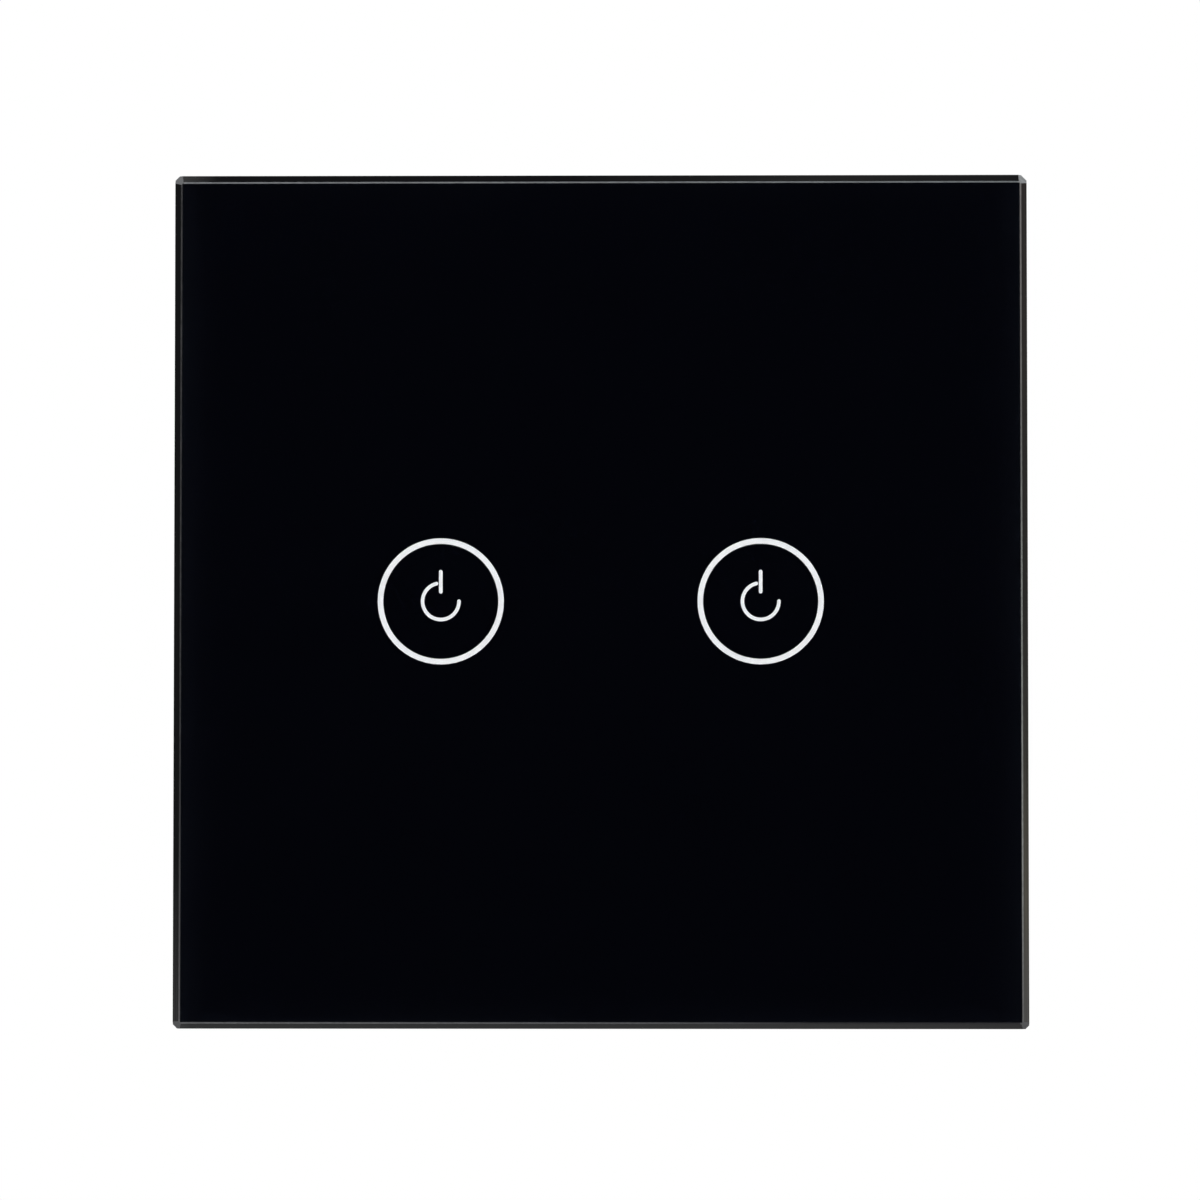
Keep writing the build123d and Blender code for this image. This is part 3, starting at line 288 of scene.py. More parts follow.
def rod(name: str, axis: Vector, radius: float, front: float, rear: float, sides: int) -> Piece:
    """A cylinder primitive that lies along the depth.

    Args:
        name: The piece's name.
        axis: Any point of its axis, in metres.
        radius: Its radius.
        front: The depth of its front end.
        rear: The depth of its rear end.
        sides: How many flat sides it has.

    Returns:
        The rod.
    """
    place = (axis.x, (front + rear) / 2, axis.z)
    bpy.ops.mesh.primitive_cylinder_add(
        vertices=sides, radius=radius, depth=rear - front, location=place, rotation=(QUARTER, 0, 0)
    )
    return settled(bpy.context.object, name)


def circle(
    name: str, sides: int, radius: float, place: Iterable[float] = (0, 0, 0),
    turn: Colour = (QUARTER, 0, 0), fill: str = "NGON",
) -> Piece:
    """A circle primitive, which looks along the depth unless its turn says otherwise.

    Args:
        name: The piece's name.
        sides: How many sides it has.
        radius: Its radius.
        place: Its centre, in metres.
        turn: Its turn from level, in radians.
        fill: The primitive's kind of filling.

    Returns:
        The circle.
    """
    bpy.ops.mesh.primitive_circle_add(
        vertices=sides, radius=radius, fill_type=fill, location=place, rotation=turn
    )
    return settled(bpy.context.object, name)


def copied(piece: Piece, name: str, shift: Iterable[float]) -> Piece:
    """A copy of a piece with a mesh of its own, moved by a step.

    Args:
        piece: The finished piece.
        name: The copy's name.
        shift: The step, in metres.

    Returns:
        The copy.
    """
    twin = piece.copy()
    twin.data = piece.data.copy()
    bpy.context.scene.collection.objects.link(twin)
    twin.location = Vector(shift)
    return settled(twin, name)


def joined(pieces: list[Piece], name: str) -> Piece:
    """Several pieces made into one.

    Args:
        pieces: What goes together, two pieces or more.
        name: The name of the whole.

    Returns:
        The whole.
    """
    bpy.ops.object.select_all(action="DESELECT")
    for piece in pieces:
        piece.select_set(True)
    bpy.context.view_layer.objects.active = pieces[0]
    bpy.ops.object.join()
    pieces[0].name = name
    pieces[0].data.name = name
    return pieces[0]


def cut(piece: Piece, cutter: Piece) -> Piece:
    """Takes away from a piece what a cutter fills. The cutter goes.

    Args:
        piece: The piece to cut.
        cutter: The closed solid that cuts it.

    Returns:
        The piece.
    """
    applied(piece, "BOOLEAN", operation="DIFFERENCE", solver="EXACT", object=cutter)
    bpy.data.objects.remove(cutter)
    return piece


# ---- Finishes ----


class Nodes:
    """A node tree, with short calls for what the materials and the room share."""

    def __init__(self, tree: bpy.types.NodeTree) -> None:
        """Takes over a tree."""
        self.tree = tree

    def add(self, kind: str, inputs: dict[object, Value] | None = None, **settings: object) -> bpy.types.Node:
        """Adds a node.

        Args:
            kind: The node's type.
            inputs: A value or another node's socket for each named or numbered input.
            settings: The node's own properties.

        Returns:
            The node.
        """
        node = self.tree.nodes.new(kind)
        for key, value in settings.items():
            setattr(node, key, value)
        for key, value in (inputs or {}).items():
            self.join(value, node.inputs[key])
        return node

    def join(self, value: Value, socket: bpy.types.NodeSocket) -> None:
        """Links a socket to another one, or sets it to a plain value.

        Args:
            value: A number, a colour or another node's socket.
            socket: The socket that takes it.
        """
        if isinstance(value, bpy.types.NodeSocket):
            self.tree.links.new(value, socket)
        else:
            socket.default_value = value

    def math(self, operation: str, first: Value, second: Value = 0.0, third: Value = 0.0) -> Value:
        """One sum, product or other operation on up to three values."""
        return self.add("ShaderNodeMath", {0: first, 1: second, 2: third}, operation=operation).outputs[0]

    def span(
        self, value: Value, low: float, high: float, start: float = 0.0, end: float = 1.0, **settings: object
    ) -> Value:
        """A value's run from low to high, turned into one from start to end."""
        inputs = {0: value, 1: low, 2: high, 3: start, 4: end}
        return self.add("ShaderNodeMapRange", inputs, **settings).outputs[0]

    def blend(self, share: Value, first: bpy.types.Node, second: bpy.types.Node) -> bpy.types.Node:
        """A shader between two others, with a share of the second."""
        return self.add("ShaderNodeMixShader", {0: share, 1: first.outputs[0], 2: second.outputs[0]})


class Graph(Nodes):
    """One material's nodes, read in Object coordinates."""

    def __init__(self, name: str) -> None:
        """Starts a material with its shader.

        Args:
            name: The finish's name.
        """
        self.material = bpy.data.materials.new(name)
        self.material.use_nodes = True
        super().__init__(self.material.node_tree)
        self.shader = next(node for node in self.tree.nodes if node.type == "BSDF_PRINCIPLED")
        self.place = self.add("ShaderNodeTexCoord").outputs["Object"]

    def shade(self, values: dict[str, Value]) -> None:
        """Sets or links the shader's own sockets."""
        for key, value in values.items():
            self.join(value, self.shader.inputs[key])

    def scaled(self, size: float, stretch: Colour = (1.0, 1.0, 1.0)) -> Value:
        """The place on the object in steps of a size in metres, finer along an axis by its stretch."""
        scale = [share / size for share in stretch]
        return self.add("ShaderNodeMapping", {"Vector": self.place, "Scale": scale}).outputs[0]

    def noise(self, size: float, detail: float = 2.0, stretch: Colour = (1.0, 1.0, 1.0)) -> Value:
        """Noise from 0 to 1, in blotches of about one size in metres, with finer layers by its detail."""
        inputs = {"Vector": self.scaled(size, stretch), "Scale": 1.0, "Detail": detail}
        return self.add("ShaderNodeTexNoise", inputs).outputs[0]

    def cells(self, size: float, **settings: object) -> Value:
        """The distance to the middle of a cell, in cells of about one size in metres."""
        inputs = {"Vector": self.scaled(size), "Scale": 1.0}
        return self.add("ShaderNodeTexVoronoi", inputs, **settings).outputs["Distance"]

    def vary(self, noise: Value, start: float, end: float) -> Value:
        """A run from start to end that follows a noise."""
        return self.span(noise, NOISE_LOW, NOISE_HIGH, start, end)

    def ramp(self, value: Value, *stops: tuple[float, Colour]) -> Value:
        """A run of colours along a value.

        Args:
            value: The socket that drives it.
            stops: Each colour with its place from 0 to 1.

        Returns:
            The colour.
        """
        node = self.add("ShaderNodeValToRGB", {0: value})
        elements = node.color_ramp.elements
        while len(elements) < len(stops):
            elements.new(1.0)
        for element, (position, colour) in zip(elements, stops):
            element.position = position
            element.color = (*colour, 1.0)
        return node.outputs[0]

    def axes(self) -> bpy.types.bpy_prop_collection:
        """The place on the object as its three numbers, in metres."""
        return self.add("ShaderNodeSeparateXYZ", {0: self.place}).outputs

    def mix(self, share: Value, first: Value, second: Value) -> Value:
        """A colour between two others.

        Args:
            share: How much of the second colour there is.
            first: A colour or its socket.
            second: A colour or its socket.

        Returns:
            The mixed colour.
        """
        node = self.add("ShaderNodeMix", data_type="RGBA")
        for value, socket in ((share, node.inputs[0]), (first, node.inputs[6]), (second, node.inputs[7])):
            self.join((*value, 1.0) if isinstance(value, tuple) else value, socket)
        return node.outputs[2]

    def tint(self, value: Value, colour: Colour, spread: float) -> None:
        """Lets the base colour drift round one colour.

        Args:
            value: What it follows, from 0 to 1.
            colour: The colour in the middle.
            spread: The share by which it gets darker and lighter.
        """
        dark = tuple(channel * (1 - spread) for channel in colour)
        light = tuple(min(1.0, channel * (1 + spread)) for channel in colour)
        self.shade({"Base Color": self.ramp(value, (0.25, dark), (0.75, light))})

    def relief(self, height: Value, depth: float, strength: float = 1.0) -> None:
        """Raises the surface by a height from 0 to 1, times a depth in metres."""
        inputs = {"Strength": strength, "Distance": depth, "Height": height}
        self.shade({"Normal": self.add("ShaderNodeBump", inputs).outputs[0]})


class Border:
    """Where a point lies on the square plate, for finishes that differ from side to side."""

    def __init__(self, graph: Graph) -> None:
        """Adds the nodes that tell the place.

        Args:
            graph: The finish's nodes.
        """
        self.graph = graph
        self.x, _, self.z = graph.axes()
        self.across = graph.span(self.x, -HALF_PLATE, HALF_PLATE)
        self.down = graph.span(self.z, HALF_PLATE, -HALF_PLATE)
        self.reach_x = graph.math("ABSOLUTE", self.x)
        self.reach_z = graph.math("ABSOLUTE", self.z)
        self.least = graph.math("MINIMUM", self.reach_x, self.reach_z)

    def sides(self, rows: Value, left: Value, right: Value) -> Value:
        """One colour along the top and the bottom, and one along the left and the right each."""
        columns = self.graph.mix(self.graph.math("GREATER_THAN", self.x), left, right)
        return self.graph.mix(self.graph.math("GREATER_THAN", self.reach_x, self.reach_z), rows, columns)


@dataclass(frozen=True)
class Finish:
    """What a surface is made of. Each kind of finish paints its own nodes."""

    name: str

    def paint(self, graph: Graph) -> None:
        """Sets the shader's colour, roughness and relief."""
        raise NotImplementedError


@functools.cache
def material_of(finish: Finish) -> bpy.types.Material:
    """The one material of a finish, made when it is first asked for.

    Args:
        finish: The finish to paint.

    Returns:
        Its material.
    """
    graph = Graph(finish.name)
    finish.paint(graph)
    return graph.material


@dataclass(frozen=True)
class ClearGlass(Finish):
    """Polished float glass, with a faint change of tint."""

    name: str = "clear_glass"
    tint: Colour = (0.955, 0.985, 0.975)

    def paint(self, graph: Graph) -> None:
        """Paints the glass."""
        graph.tint(graph.noise(30 * MM), self.tint, 0.006)
        graph.shade({"Transmission Weight": 1.0, "IOR": GLASS_IOR, "Roughness": 0.0})


@dataclass(frozen=True)
class GroundLine(Finish):
    """The narrow ground arris between the face and its bevel, which scatters light.

    Its colour holds painted light and shade: painted light along the top and the right, painted shade along
    the left, and along the bottom painted light that fades out to the right. Its corners hold painted
    highlights, brightest at the top right.
    """

    name: str = "ground_line"
    corner: float = 0.95 * MM
    grit: Colour = (0.02, 0.02, 0.024)

    def paint(self, graph: Graph) -> None:
        """Paints the ground glass: painted light and shade on its four sides, painted highlights on its
        corners, and grit on both.

        Args:
            graph: The material's nodes.
        """
        border = Border(graph)
        speck = graph.noise(0.5 * MM, 3.0)
        # painted light and shade: lighter along the top and the right, painted shade along the left, and
        # painted light along the bottom that fades out to the right
        top = graph.ramp(border.across, (0.0, (0.165, 0.170, 0.180)), (1.0, (0.125, 0.138, 0.144)))
        bottom = graph.ramp(
            border.across,
            (0.0, (0.125, 0.127, 0.132)), (0.55, (0.085, 0.087, 0.094)), (0.75, (0.012, 0.012, 0.014)),
            (1.0, (0.010, 0.010, 0.013)),
        )
        left = graph.ramp(
            border.down,
            (0.0, (0.006, 0.006, 0.007)), (0.7, (0.005, 0.005, 0.006)), (1.0, (0.085, 0.085, 0.088)),
        )
        right = graph.ramp(
            border.down,
            (0.0, (0.140, 0.128, 0.124)), (0.3, (0.115, 0.115, 0.108)), (0.45, (0.180, 0.192, 0.180)),
            (0.8, (0.205, 0.210, 0.200)), (1.0, (0.090, 0.090, 0.088)),
        )
        upper = graph.math("GREATER_THAN", border.z)
        sides = border.sides(graph.mix(upper, bottom, top), left, right)
        # painted highlights on the corner facets, brightest at the top right
        low = graph.ramp(border.across, (0.0, (0.105, 0.105, 0.108)), (1.0, (0.105, 0.107, 0.110)))
        high = graph.ramp(border.across, (0.0, (0.110, 0.112, 0.116)), (1.0, (0.215, 0.225, 0.230)))
        glint_corners = graph.math("GREATER_THAN", border.least, HALF_PLATE - self.corner)
        colour = graph.mix(glint_corners, sides, graph.mix(upper, low, high))
        graph.shade({
            "Base Color": graph.mix(graph.span(speck, 0.35, 0.6, 0.30, 0.0), colour, self.grit),
            "Roughness": graph.vary(speck, 0.55, 0.75),
            "Specular IOR Level": 0.5,
        })
        graph.relief(graph.noise(0.05 * MM, 3.0), 0.004 * MM)


@dataclass(frozen=True)
class PolishedBevel(Finish):
    """The polished bevel round the face: dark, with the wheel's fine lines along it, and a painted reflection
    that differs from side to side.
    """

    name: str = "polished_bevel"
    lines: float = 9000.0  # to a metre across the bevel
    line_run: float = 40.0  # to a metre along it

    def paint(self, graph: Graph) -> None:
        """Paints the bevel's dark glass, with a painted reflection along its sides.

        Args:
            graph: The material's nodes.
        """
        border = Border(graph)
        most = graph.math("MAXIMUM", border.reach_x, border.reach_z)
        inward = graph.math("MULTIPLY", graph.math("SUBTRACT", HALF_PLATE, most), self.lines)
        along = graph.math("MULTIPLY", border.least, self.line_run)
        lane = graph.add("ShaderNodeCombineXYZ", {0: inward, 1: along})
        inputs = {"Vector": lane.outputs[0], "Scale": 1.0, "Detail": 2.0}
        streak = graph.add("ShaderNodeTexNoise", inputs).outputs[0]
        # painted reflection: lighter low on the right, at the foot of the left and at the left end of the top
        # and the bottom, near black elsewhere
        right = graph.ramp(
            border.down,
            (0.0, (0.016, 0.011, 0.008)), (0.5, (0.007, 0.006, 0.003)), (0.68, (0.030, 0.027, 0.020)),
            (0.86, (0.088, 0.079, 0.060)), (1.0, (0.078, 0.076, 0.074)),
        )
        left = graph.ramp(
            border.down,
            (0.0, (0.0005, 0.0005, 0.001)), (0.8, (0.001, 0.001, 0.001)), (1.0, (0.040, 0.040, 0.040)),
        )
        drift = graph.math("ADD", border.across, graph.vary(graph.noise(9 * MM, 1.0), -0.04, 0.04))
        rows = graph.ramp(
            drift,
            (0.0, (0.060, 0.060, 0.060)), (0.06, (0.002, 0.002, 0.003)), (0.45, (0.001, 0.001, 0.002)),
            (0.78, (0.014, 0.014, 0.014)), (1.0, (0.004, 0.004, 0.005)),
        )
        colour = border.sides(rows, left, right)
        graph.shade({
            "Base Color": graph.mix(graph.span(streak, 0.35, 0.65, 0.5, 0.0), colour, (0.0, 0.0, 0.0)),
            "Roughness": graph.vary(streak, 0.05, 0.16),
            "IOR": GLASS_IOR,
        })
        graph.relief(streak, 0.0012 * MM, 0.6)


@dataclass(frozen=True)
class BlackPrint(Finish):
    """Black screen print, a touch lighter and bluer near the edges of the sheet."""

    name: str = "black_print"
    margin: float = 5 * MM
    edge: float = 0.6 * MM
    height_share: float = 0.97

    def paint(self, graph: Graph) -> None:
        """Paints the print.

        Args:
            graph: The material's nodes.
        """
        x, _, z = graph.axes()
        reach_x = graph.math("ABSOLUTE", x)
        reach_z = graph.math("MULTIPLY", graph.math("ABSOLUTE", z), self.height_share)
        reach = graph.math("MAXIMUM", reach_x, reach_z)
        border = graph.span(reach, HALF_PLATE - self.margin, HALF_PLATE - self.edge)
        drift = graph.math("ADD", border, graph.vary(graph.noise(14 * MM, 3.0), -0.08, 0.12))
        graph.shade({
            "Base Color": graph.ramp(
                drift,
                (0.0, (0.0009, 0.0011, 0.0024)), (0.5, (0.0012, 0.0014, 0.0028)),
                (1.0, (0.0022, 0.0026, 0.0042)),
            ),
            "Roughness": graph.vary(graph.noise(0.3 * MM), 0.8, 1.0),
            "Specular IOR Level": 0.0,
        })


@dataclass(frozen=True)
class WhitePrint(Finish):
    """White screen print with a painted glow, which stands in for the key lamps lighting it a little from
    behind.
    """

    name: str = "white_print"
    colour: Colour = (0.625, 0.617, 0.63)
    glow: float = 0.258

    def paint(self, graph: Graph) -> None:
        """Paints the print.

        Args:
            graph: The material's nodes.
        """
        graph.tint(graph.noise(0.25 * MM, 3.0), self.colour, 0.03)
        graph.shade({
            "Roughness": graph.vary(graph.noise(0.1 * MM), 0.8, 1.0),
            "Specular IOR Level": 0.0,
            # painted glow: the print itself gives off a little light
            "Emission Color": (0.92, 0.96, 1.0, 1.0),
            "Emission Strength": self.glow,
        })


@dataclass(frozen=True)
class Moulding(Finish):
    """Moulded plastic with a spark-eroded grain."""

    colour: Colour
    roughness: float
    grain: float = 0.20 * MM
    depth: float = 0.010 * MM

    def paint(self, graph: Graph) -> None:
        """Paints the plastic.

        Args:
            graph: The material's nodes.
        """
        grain = graph.noise(self.grain, 3.0)
        graph.tint(graph.noise(11 * MM, 3.0), self.colour, 0.14)
        graph.shade({"Roughness": graph.vary(grain, self.roughness - 0.07, self.roughness + 0.07)})
        graph.relief(grain, self.depth)


@dataclass(frozen=True)
class Gloss(Finish):
    """Smooth lacquer, resin or shrink sleeve, with slight sags in its surface."""

    colour: Colour
    roughness: float
    sag: float = 1.6 * MM

    def paint(self, graph: Graph) -> None:
        """Paints the coat.

        Args:
            graph: The material's nodes.
        """
        graph.tint(graph.noise(2.5 * MM, 3.0), self.colour, 0.10)
        fine = graph.noise(0.4 * MM)
        graph.shade({
            "Roughness": graph.vary(fine, self.roughness - 0.04, self.roughness + 0.08),
            "Coat Weight": 0.3,
        })
        graph.relief(graph.noise(self.sag), 0.02 * MM, 0.5)


@dataclass(frozen=True)
class Milky(Finish):
    """Milky plastic that spreads light."""

    name: str = "milky_plastic"
    colour: Colour = (0.80, 0.82, 0.80)

    def paint(self, graph: Graph) -> None:
        """Paints the plastic.

        Args:
            graph: The material's nodes.
        """
        graph.tint(graph.noise(3 * MM), self.colour, 0.04)
        graph.shade({
            "Roughness": graph.vary(graph.noise(0.2 * MM), 0.30, 0.42),
            "Subsurface Weight": 0.4,
            "Subsurface Scale": 1 * MM,
        })
        graph.relief(graph.noise(0.25 * MM), 0.004 * MM, 0.6)


@dataclass(frozen=True)
class Metal(Finish):
    """Plated or bare metal with fine marks of drawing or turning along one axis."""

    colour: Colour
    stain: Colour
    roughness: float
    marks: Colour = (1.0, 12.0, 12.0)

    def paint(self, graph: Graph) -> None:
        """Paints the metal.

        Args:
            graph: The material's nodes.
        """
        cloud = graph.noise(2.2 * MM, 3.0)
        marks = graph.noise(0.9 * MM, 3.0, self.marks)
        graph.shade({
            "Base Color": graph.ramp(cloud, (0.35, self.colour), (0.72, self.stain)),
            "Metallic": 1.0,
            "Roughness": graph.vary(marks, self.roughness - 0.08, self.roughness + 0.12),
        })
        graph.relief(marks, 0.003 * MM, 0.7)


@dataclass(frozen=True)
class Laminate(Finish):
    """Circuit board with solder mask over copper tracks."""

    mask: Colour
    track: Colour
    pitch: float = 3.1 * MM
    line_place: float = 0.34
    line_width: float = 0.045

    def paint(self, graph: Graph) -> None:
        """Paints the board.

        Args:
            graph: The material's nodes.
        """
        cells = graph.cells(self.pitch, distance="CHEBYCHEV")
        line = graph.math("COMPARE", cells, self.line_place, self.line_width)
        weave = graph.noise(0.35 * MM)
        shaded = tuple(0.86 * channel for channel in self.mask)
        plain = graph.mix(graph.span(weave, 0.35, 0.65), self.mask, shaded)
        graph.shade({
            "Base Color": graph.mix(line, plain, self.track),
            "Roughness": graph.vary(weave, 0.24, 0.36),
            "Coat Weight": 0.25,
        })
        graph.relief(graph.math("ADD", line, graph.math("MULTIPLY", weave, 0.2)), 0.018 * MM)


@dataclass(frozen=True)
class Foam(Finish):
    """Black closed-cell foam tape."""

    name: str = "foam_tape"
    colour: Colour = (0.018, 0.018, 0.019)

    def paint(self, graph: Graph) -> None:
        """Paints the foam.

        Args:
            graph: The material's nodes.
        """
        cells = graph.cells(0.22 * MM)
        graph.tint(cells, self.colour, 0.5)
        graph.shade({"Roughness": graph.span(cells, 0.1, 0.7, 0.8, 1.0)})
        graph.relief(cells, 0.06 * MM)


class Stock:
    """The finishes that the sub-assemblies choose from."""

    GLASS = ClearGlass()
    LINE = GroundLine()
    BEVEL = PolishedBevel()
    BLACK = BlackPrint()
    WHITE = WhitePrint()
    TAPE = Foam()
    FRAME = Moulding("frame_plastic", (0.022, 0.022, 0.024), 0.48)
    PLATE = Moulding("plate_plastic", (0.030, 0.030, 0.032), 0.52, 0.24 * MM, 0.014 * MM)
    HOUSING = Moulding("housing_plastic", (0.034, 0.034, 0.036), 0.55, 0.28 * MM, 0.018 * MM)
    TERMINAL = Moulding("terminal_plastic", (0.026, 0.027, 0.029), 0.42, 0.12 * MM, 0.005 * MM)
    COVER = Moulding("relay_cover_plastic", (0.012, 0.012, 0.013), 0.30, 0.10 * MM, 0.003 * MM)
    CHIP = Moulding("chip_resin", (0.018, 0.018, 0.019), 0.58, 0.08 * MM, 0.004 * MM)
    BOBBIN = Moulding("bobbin_plastic", (0.72, 0.70, 0.62), 0.40, 0.15 * MM, 0.004 * MM)
    BOX = Moulding("capacitor_box_plastic", (0.62, 0.42, 0.03), 0.36, 0.12 * MM, 0.003 * MM)
    TAPED = Gloss("winding_tape", (0.66, 0.50, 0.05), 0.26, 0.8 * MM)
    FERRITE = Moulding("ferrite", (0.035, 0.034, 0.034), 0.62, 0.10 * MM, 0.012 * MM)
    SLEEVE = Gloss("shrink_sleeve", (0.012, 0.014, 0.030), 0.22)
    LACQUER = Gloss("green_lacquer", (0.10, 0.20, 0.12), 0.30, 0.6 * MM)
    RESIN = Gloss("blue_resin", (0.02, 0.09, 0.38), 0.20, 1.0 * MM)
    LAMP = Gloss("lamp_resin", (0.80, 0.76, 0.40), 0.18, 0.5 * MM)
    MILKY = Milky()
    BOARD = Laminate("green_board", (0.006, 0.075, 0.030), (0.012, 0.130, 0.050))
    ZINC = Metal("zinc_plate", (0.66, 0.67, 0.68), (0.55, 0.54, 0.49), 0.30, (6.0, 6.0, 1.0))
    NICKEL = Metal("nickel_plate", (0.72, 0.68, 0.58), (0.60, 0.53, 0.40), 0.26, (1.0, 9.0, 9.0))
    IRON = Metal("plated_iron", (0.60, 0.60, 0.60), (0.48, 0.47, 0.45), 0.34)
    MARKING = Gloss("marking_ink", (0.60, 0.60, 0.58), 0.45, 0.3 * MM)
    SPRING = Metal("spring_wire", (0.78, 0.72, 0.60), (0.64, 0.55, 0.40), 0.20, (4.0, 4.0, 4.0))
    GOLD = Metal("gold_plate", (0.90, 0.68, 0.30), (0.74, 0.52, 0.22), 0.24)
    TIN = Metal("tinned_brass", (0.74, 0.70, 0.60), (0.66, 0.56, 0.38), 0.32)
    COPPER = Metal("copper_alloy", (0.82, 0.52, 0.32), (0.66, 0.38, 0.22), 0.28)
    ENAMEL = Gloss("enamelled_wire", (0.42, 0.11, 0.03), 0.20, 0.3 * MM)


def dress(finish: Finish, *nodes: str) -> None:
    """Gives CAD nodes a finish through their material slots.

    Args:
        finish: The surface that they show.
        nodes: The nodes' names.
    """
    for name in nodes:
        node = frame["nodes"][name]
        material = material_of(finish)
        if not node.material_slots:
            node.data.materials.append(material)
        for spot in node.material_slots:
            spot.material = material


def finished(
    piece: Piece, finishes: Iterable[Finish], body: str, stands_for: Iterable[str] = ()
) -> Piece:
    """Dresses a modelled piece, and ties it to the frame.

    Args:
        piece: The piece, in its place.
        finishes: The finish of each of its material indices.
        body: The body that it rides on.
        stands_for: The CAD nodes that it replaces.

    Returns:
        The piece.
    """
    for finish in finishes:
        piece.data.materials.append(material_of(finish))
    if stands_for:
        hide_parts(*stands_for)
    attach(piece, body)
    return piece


def corners(node: str) -> tuple[Vector, Vector]:
    """The lowest and the highest corner of a CAD node's box, in metres."""
    low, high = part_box(node)
    return Vector(low), Vector(high)


def middle(node: str) -> Vector:
    """The centre of a CAD node's box, in metres."""
    low, high = corners(node)
    return (low + high) / 2


# ---- Glass front ----


@dataclass
class GlassFront:
    """The glass plate, the print on its back and the frame that carries it."""

    corner_cuts: tuple[Colour, ...] = (
        (-1, 1, 0.42 * MM), (1, 1, 0.55 * MM), (-1, -1, 0.42 * MM), (1, -1, 0.36 * MM),
    )
    corner_start: float = 0.25 * MM
    corner_bite: float = 0.12 * MM
    bevel: float = 0.58 * MM
    bevel_shift: Colour = (0.028 * MM, 0.0, -0.083 * MM)
    outer_arris: float = 0.03 * MM
    line: float = 0.16 * MM
    line_drop: float = 0.05 * MM
    back_arris: float = 0.20 * MM
    print_depth: float = 0.02 * MM
    ring_radius: float = 6.375 * MM
    ring_stroke: float = 0.56 * MM
    sign_radius: float = 1.84 * MM
    sign_stroke: float = 0.36 * MM
    sign_gap_degrees: float = 103.2
    sign_turn_degrees: float = 38.0
    bar_width: float = 0.37 * MM
    bar_low: float = 0.78 * MM
    bar_high: float = 3.18 * MM
    body: str = "front_panel"

    def build(self) -> None:
        """Models the glass and the signs, and dresses the nodes behind them."""
        self.plate()
        self.signs()
        dress(Stock.BLACK, "black_ink")
        dress(Stock.TAPE, "glass_tape")
        dress(Stock.FRAME, "panel_frame", "snap_hooks")

    def plate(self) -> None:
        """Models the glass: cut corners, a polished bevel and ground arrises.

        The bevel is hand-ground, a little wider along the top than along the bottom. The plate's back lies a
        hair behind the print's front, so that no air lies between the print and the glass.
        """
        low, high = corners("glass_panel")
        high.y += self.print_depth
        half = high.x
        shoulder = low.y + self.line_drop + self.bevel + self.outer_arris
        plate = block("glass_plate", (-half, shoulder, -half), (half, high.y - self.back_arris, half))
        with editing(plate):
            pick(plate, Element.FACES, lambda face: face.normal.y > FACING)
            step(half, self.back_arris, self.back_arris)
            pick(plate, Element.FACES, lambda face: face.normal.y < -FACING)
            step(half, self.outer_arris, -self.outer_arris)
            inner = half - self.outer_arris - self.bevel
            step(half - self.outer_arris, self.bevel, -self.bevel)
            bpy.ops.transform.translate(value=self.bevel_shift)
            step(inner, self.line, -self.line_drop)
            self.clip_corners(half, inner, low.y, shoulder)
        ground, polished = 1, 2
        side_lean, bevel_lean, face_lean, along_edge = 0.1, 0.8, 0.995, 0.65
        for face in plate.data.polygons:
            lean = -face.normal.y
            straight = max(abs(face.normal.x), abs(face.normal.z))
            if side_lean < lean < face_lean:
                on_bevel = lean < bevel_lean and straight > along_edge
                face.material_index = polished if on_bevel else ground
        plate.visible_shadow = False
        finishes = (Stock.GLASS, Stock.LINE, Stock.BEVEL)
        finished(plate, finishes, self.body, ["glass_panel"])

    def clip_corners(self, half: float, inner: float, front: float, shoulder: float) -> None:
        """Grinds each corner off: straight through the side, and on a slant up to the face's own corner.

        Args:
            half: Half the plate's side.
            inner: Half the side of the square inside the bevel.
            front: The depth of the face.
            shoulder: The depth at which the sides begin.
        """
        fall = shoulder + self.corner_start - front - self.line_drop
        for right, up, cut_width in self.corner_cuts:
            reach = half - cut_width / 2
            shift = (right * self.bevel_shift[0] + up * self.bevel_shift[2]) / 2
            run = reach - inner - shift + self.corner_bite
            corner = (right * reach, shoulder + self.corner_start, up * reach)
            self.slice(corner, (right, 0, up))
            self.slice(corner, (right * fall, -2 * run, up * fall))

    def slice(self, place: Colour, way: Colour) -> None:
        """Cuts off what lies beyond a plane, and closes the cut.

        Args:
            place: A point of the plane.
            way: Its normal, towards what goes.
        """
        pick_all()
        normal = Vector(way).normalized()
        bpy.ops.mesh.bisect(plane_co=place, plane_no=normal, use_fill=True, clear_outer=True, threshold=HAIR)

    def signs(self) -> None:
        """Prints the touch rings, and a power sign inside each."""
        low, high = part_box("white_ink")
        patch = (high[2] - low[2]) / 2
        away = (high[0] - low[0] - 2 * patch, 0, 0)
        ring = self.ring("touch_ring_left", low[0] + patch)
        sign = self.sign("power_sign_left", low[0] + patch)
        for piece in (ring, copied(ring, "touch_ring_right", away)):
            finished(piece, [Stock.WHITE], self.body, ["white_ink"])
        for piece in (sign, copied(sign, "power_sign_right", away)):
            finished(piece, [Stock.WHITE], self.body)

    def ring(self, name: str, x: float) -> Piece:
        """Models one touch ring, printed in the window of the black print.

        Args:
            name: The piece's name.
            x: The key's centre, in metres.

        Returns:
            The ring, as deep as the black print.
        """
        low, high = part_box("black_ink")
        ring = circle(name, 160, self.ring_radius, fill="NOTHING")
        with editing(ring):
            pick(ring, Element.EDGES, lambda edge: True)
            step(self.ring_radius, self.ring_stroke, 0.0)
            pick_all()
            extrude(high[1] - low[1])
        ring.location = (x, low[1], 0)
        return cleaned(settled(ring, name))

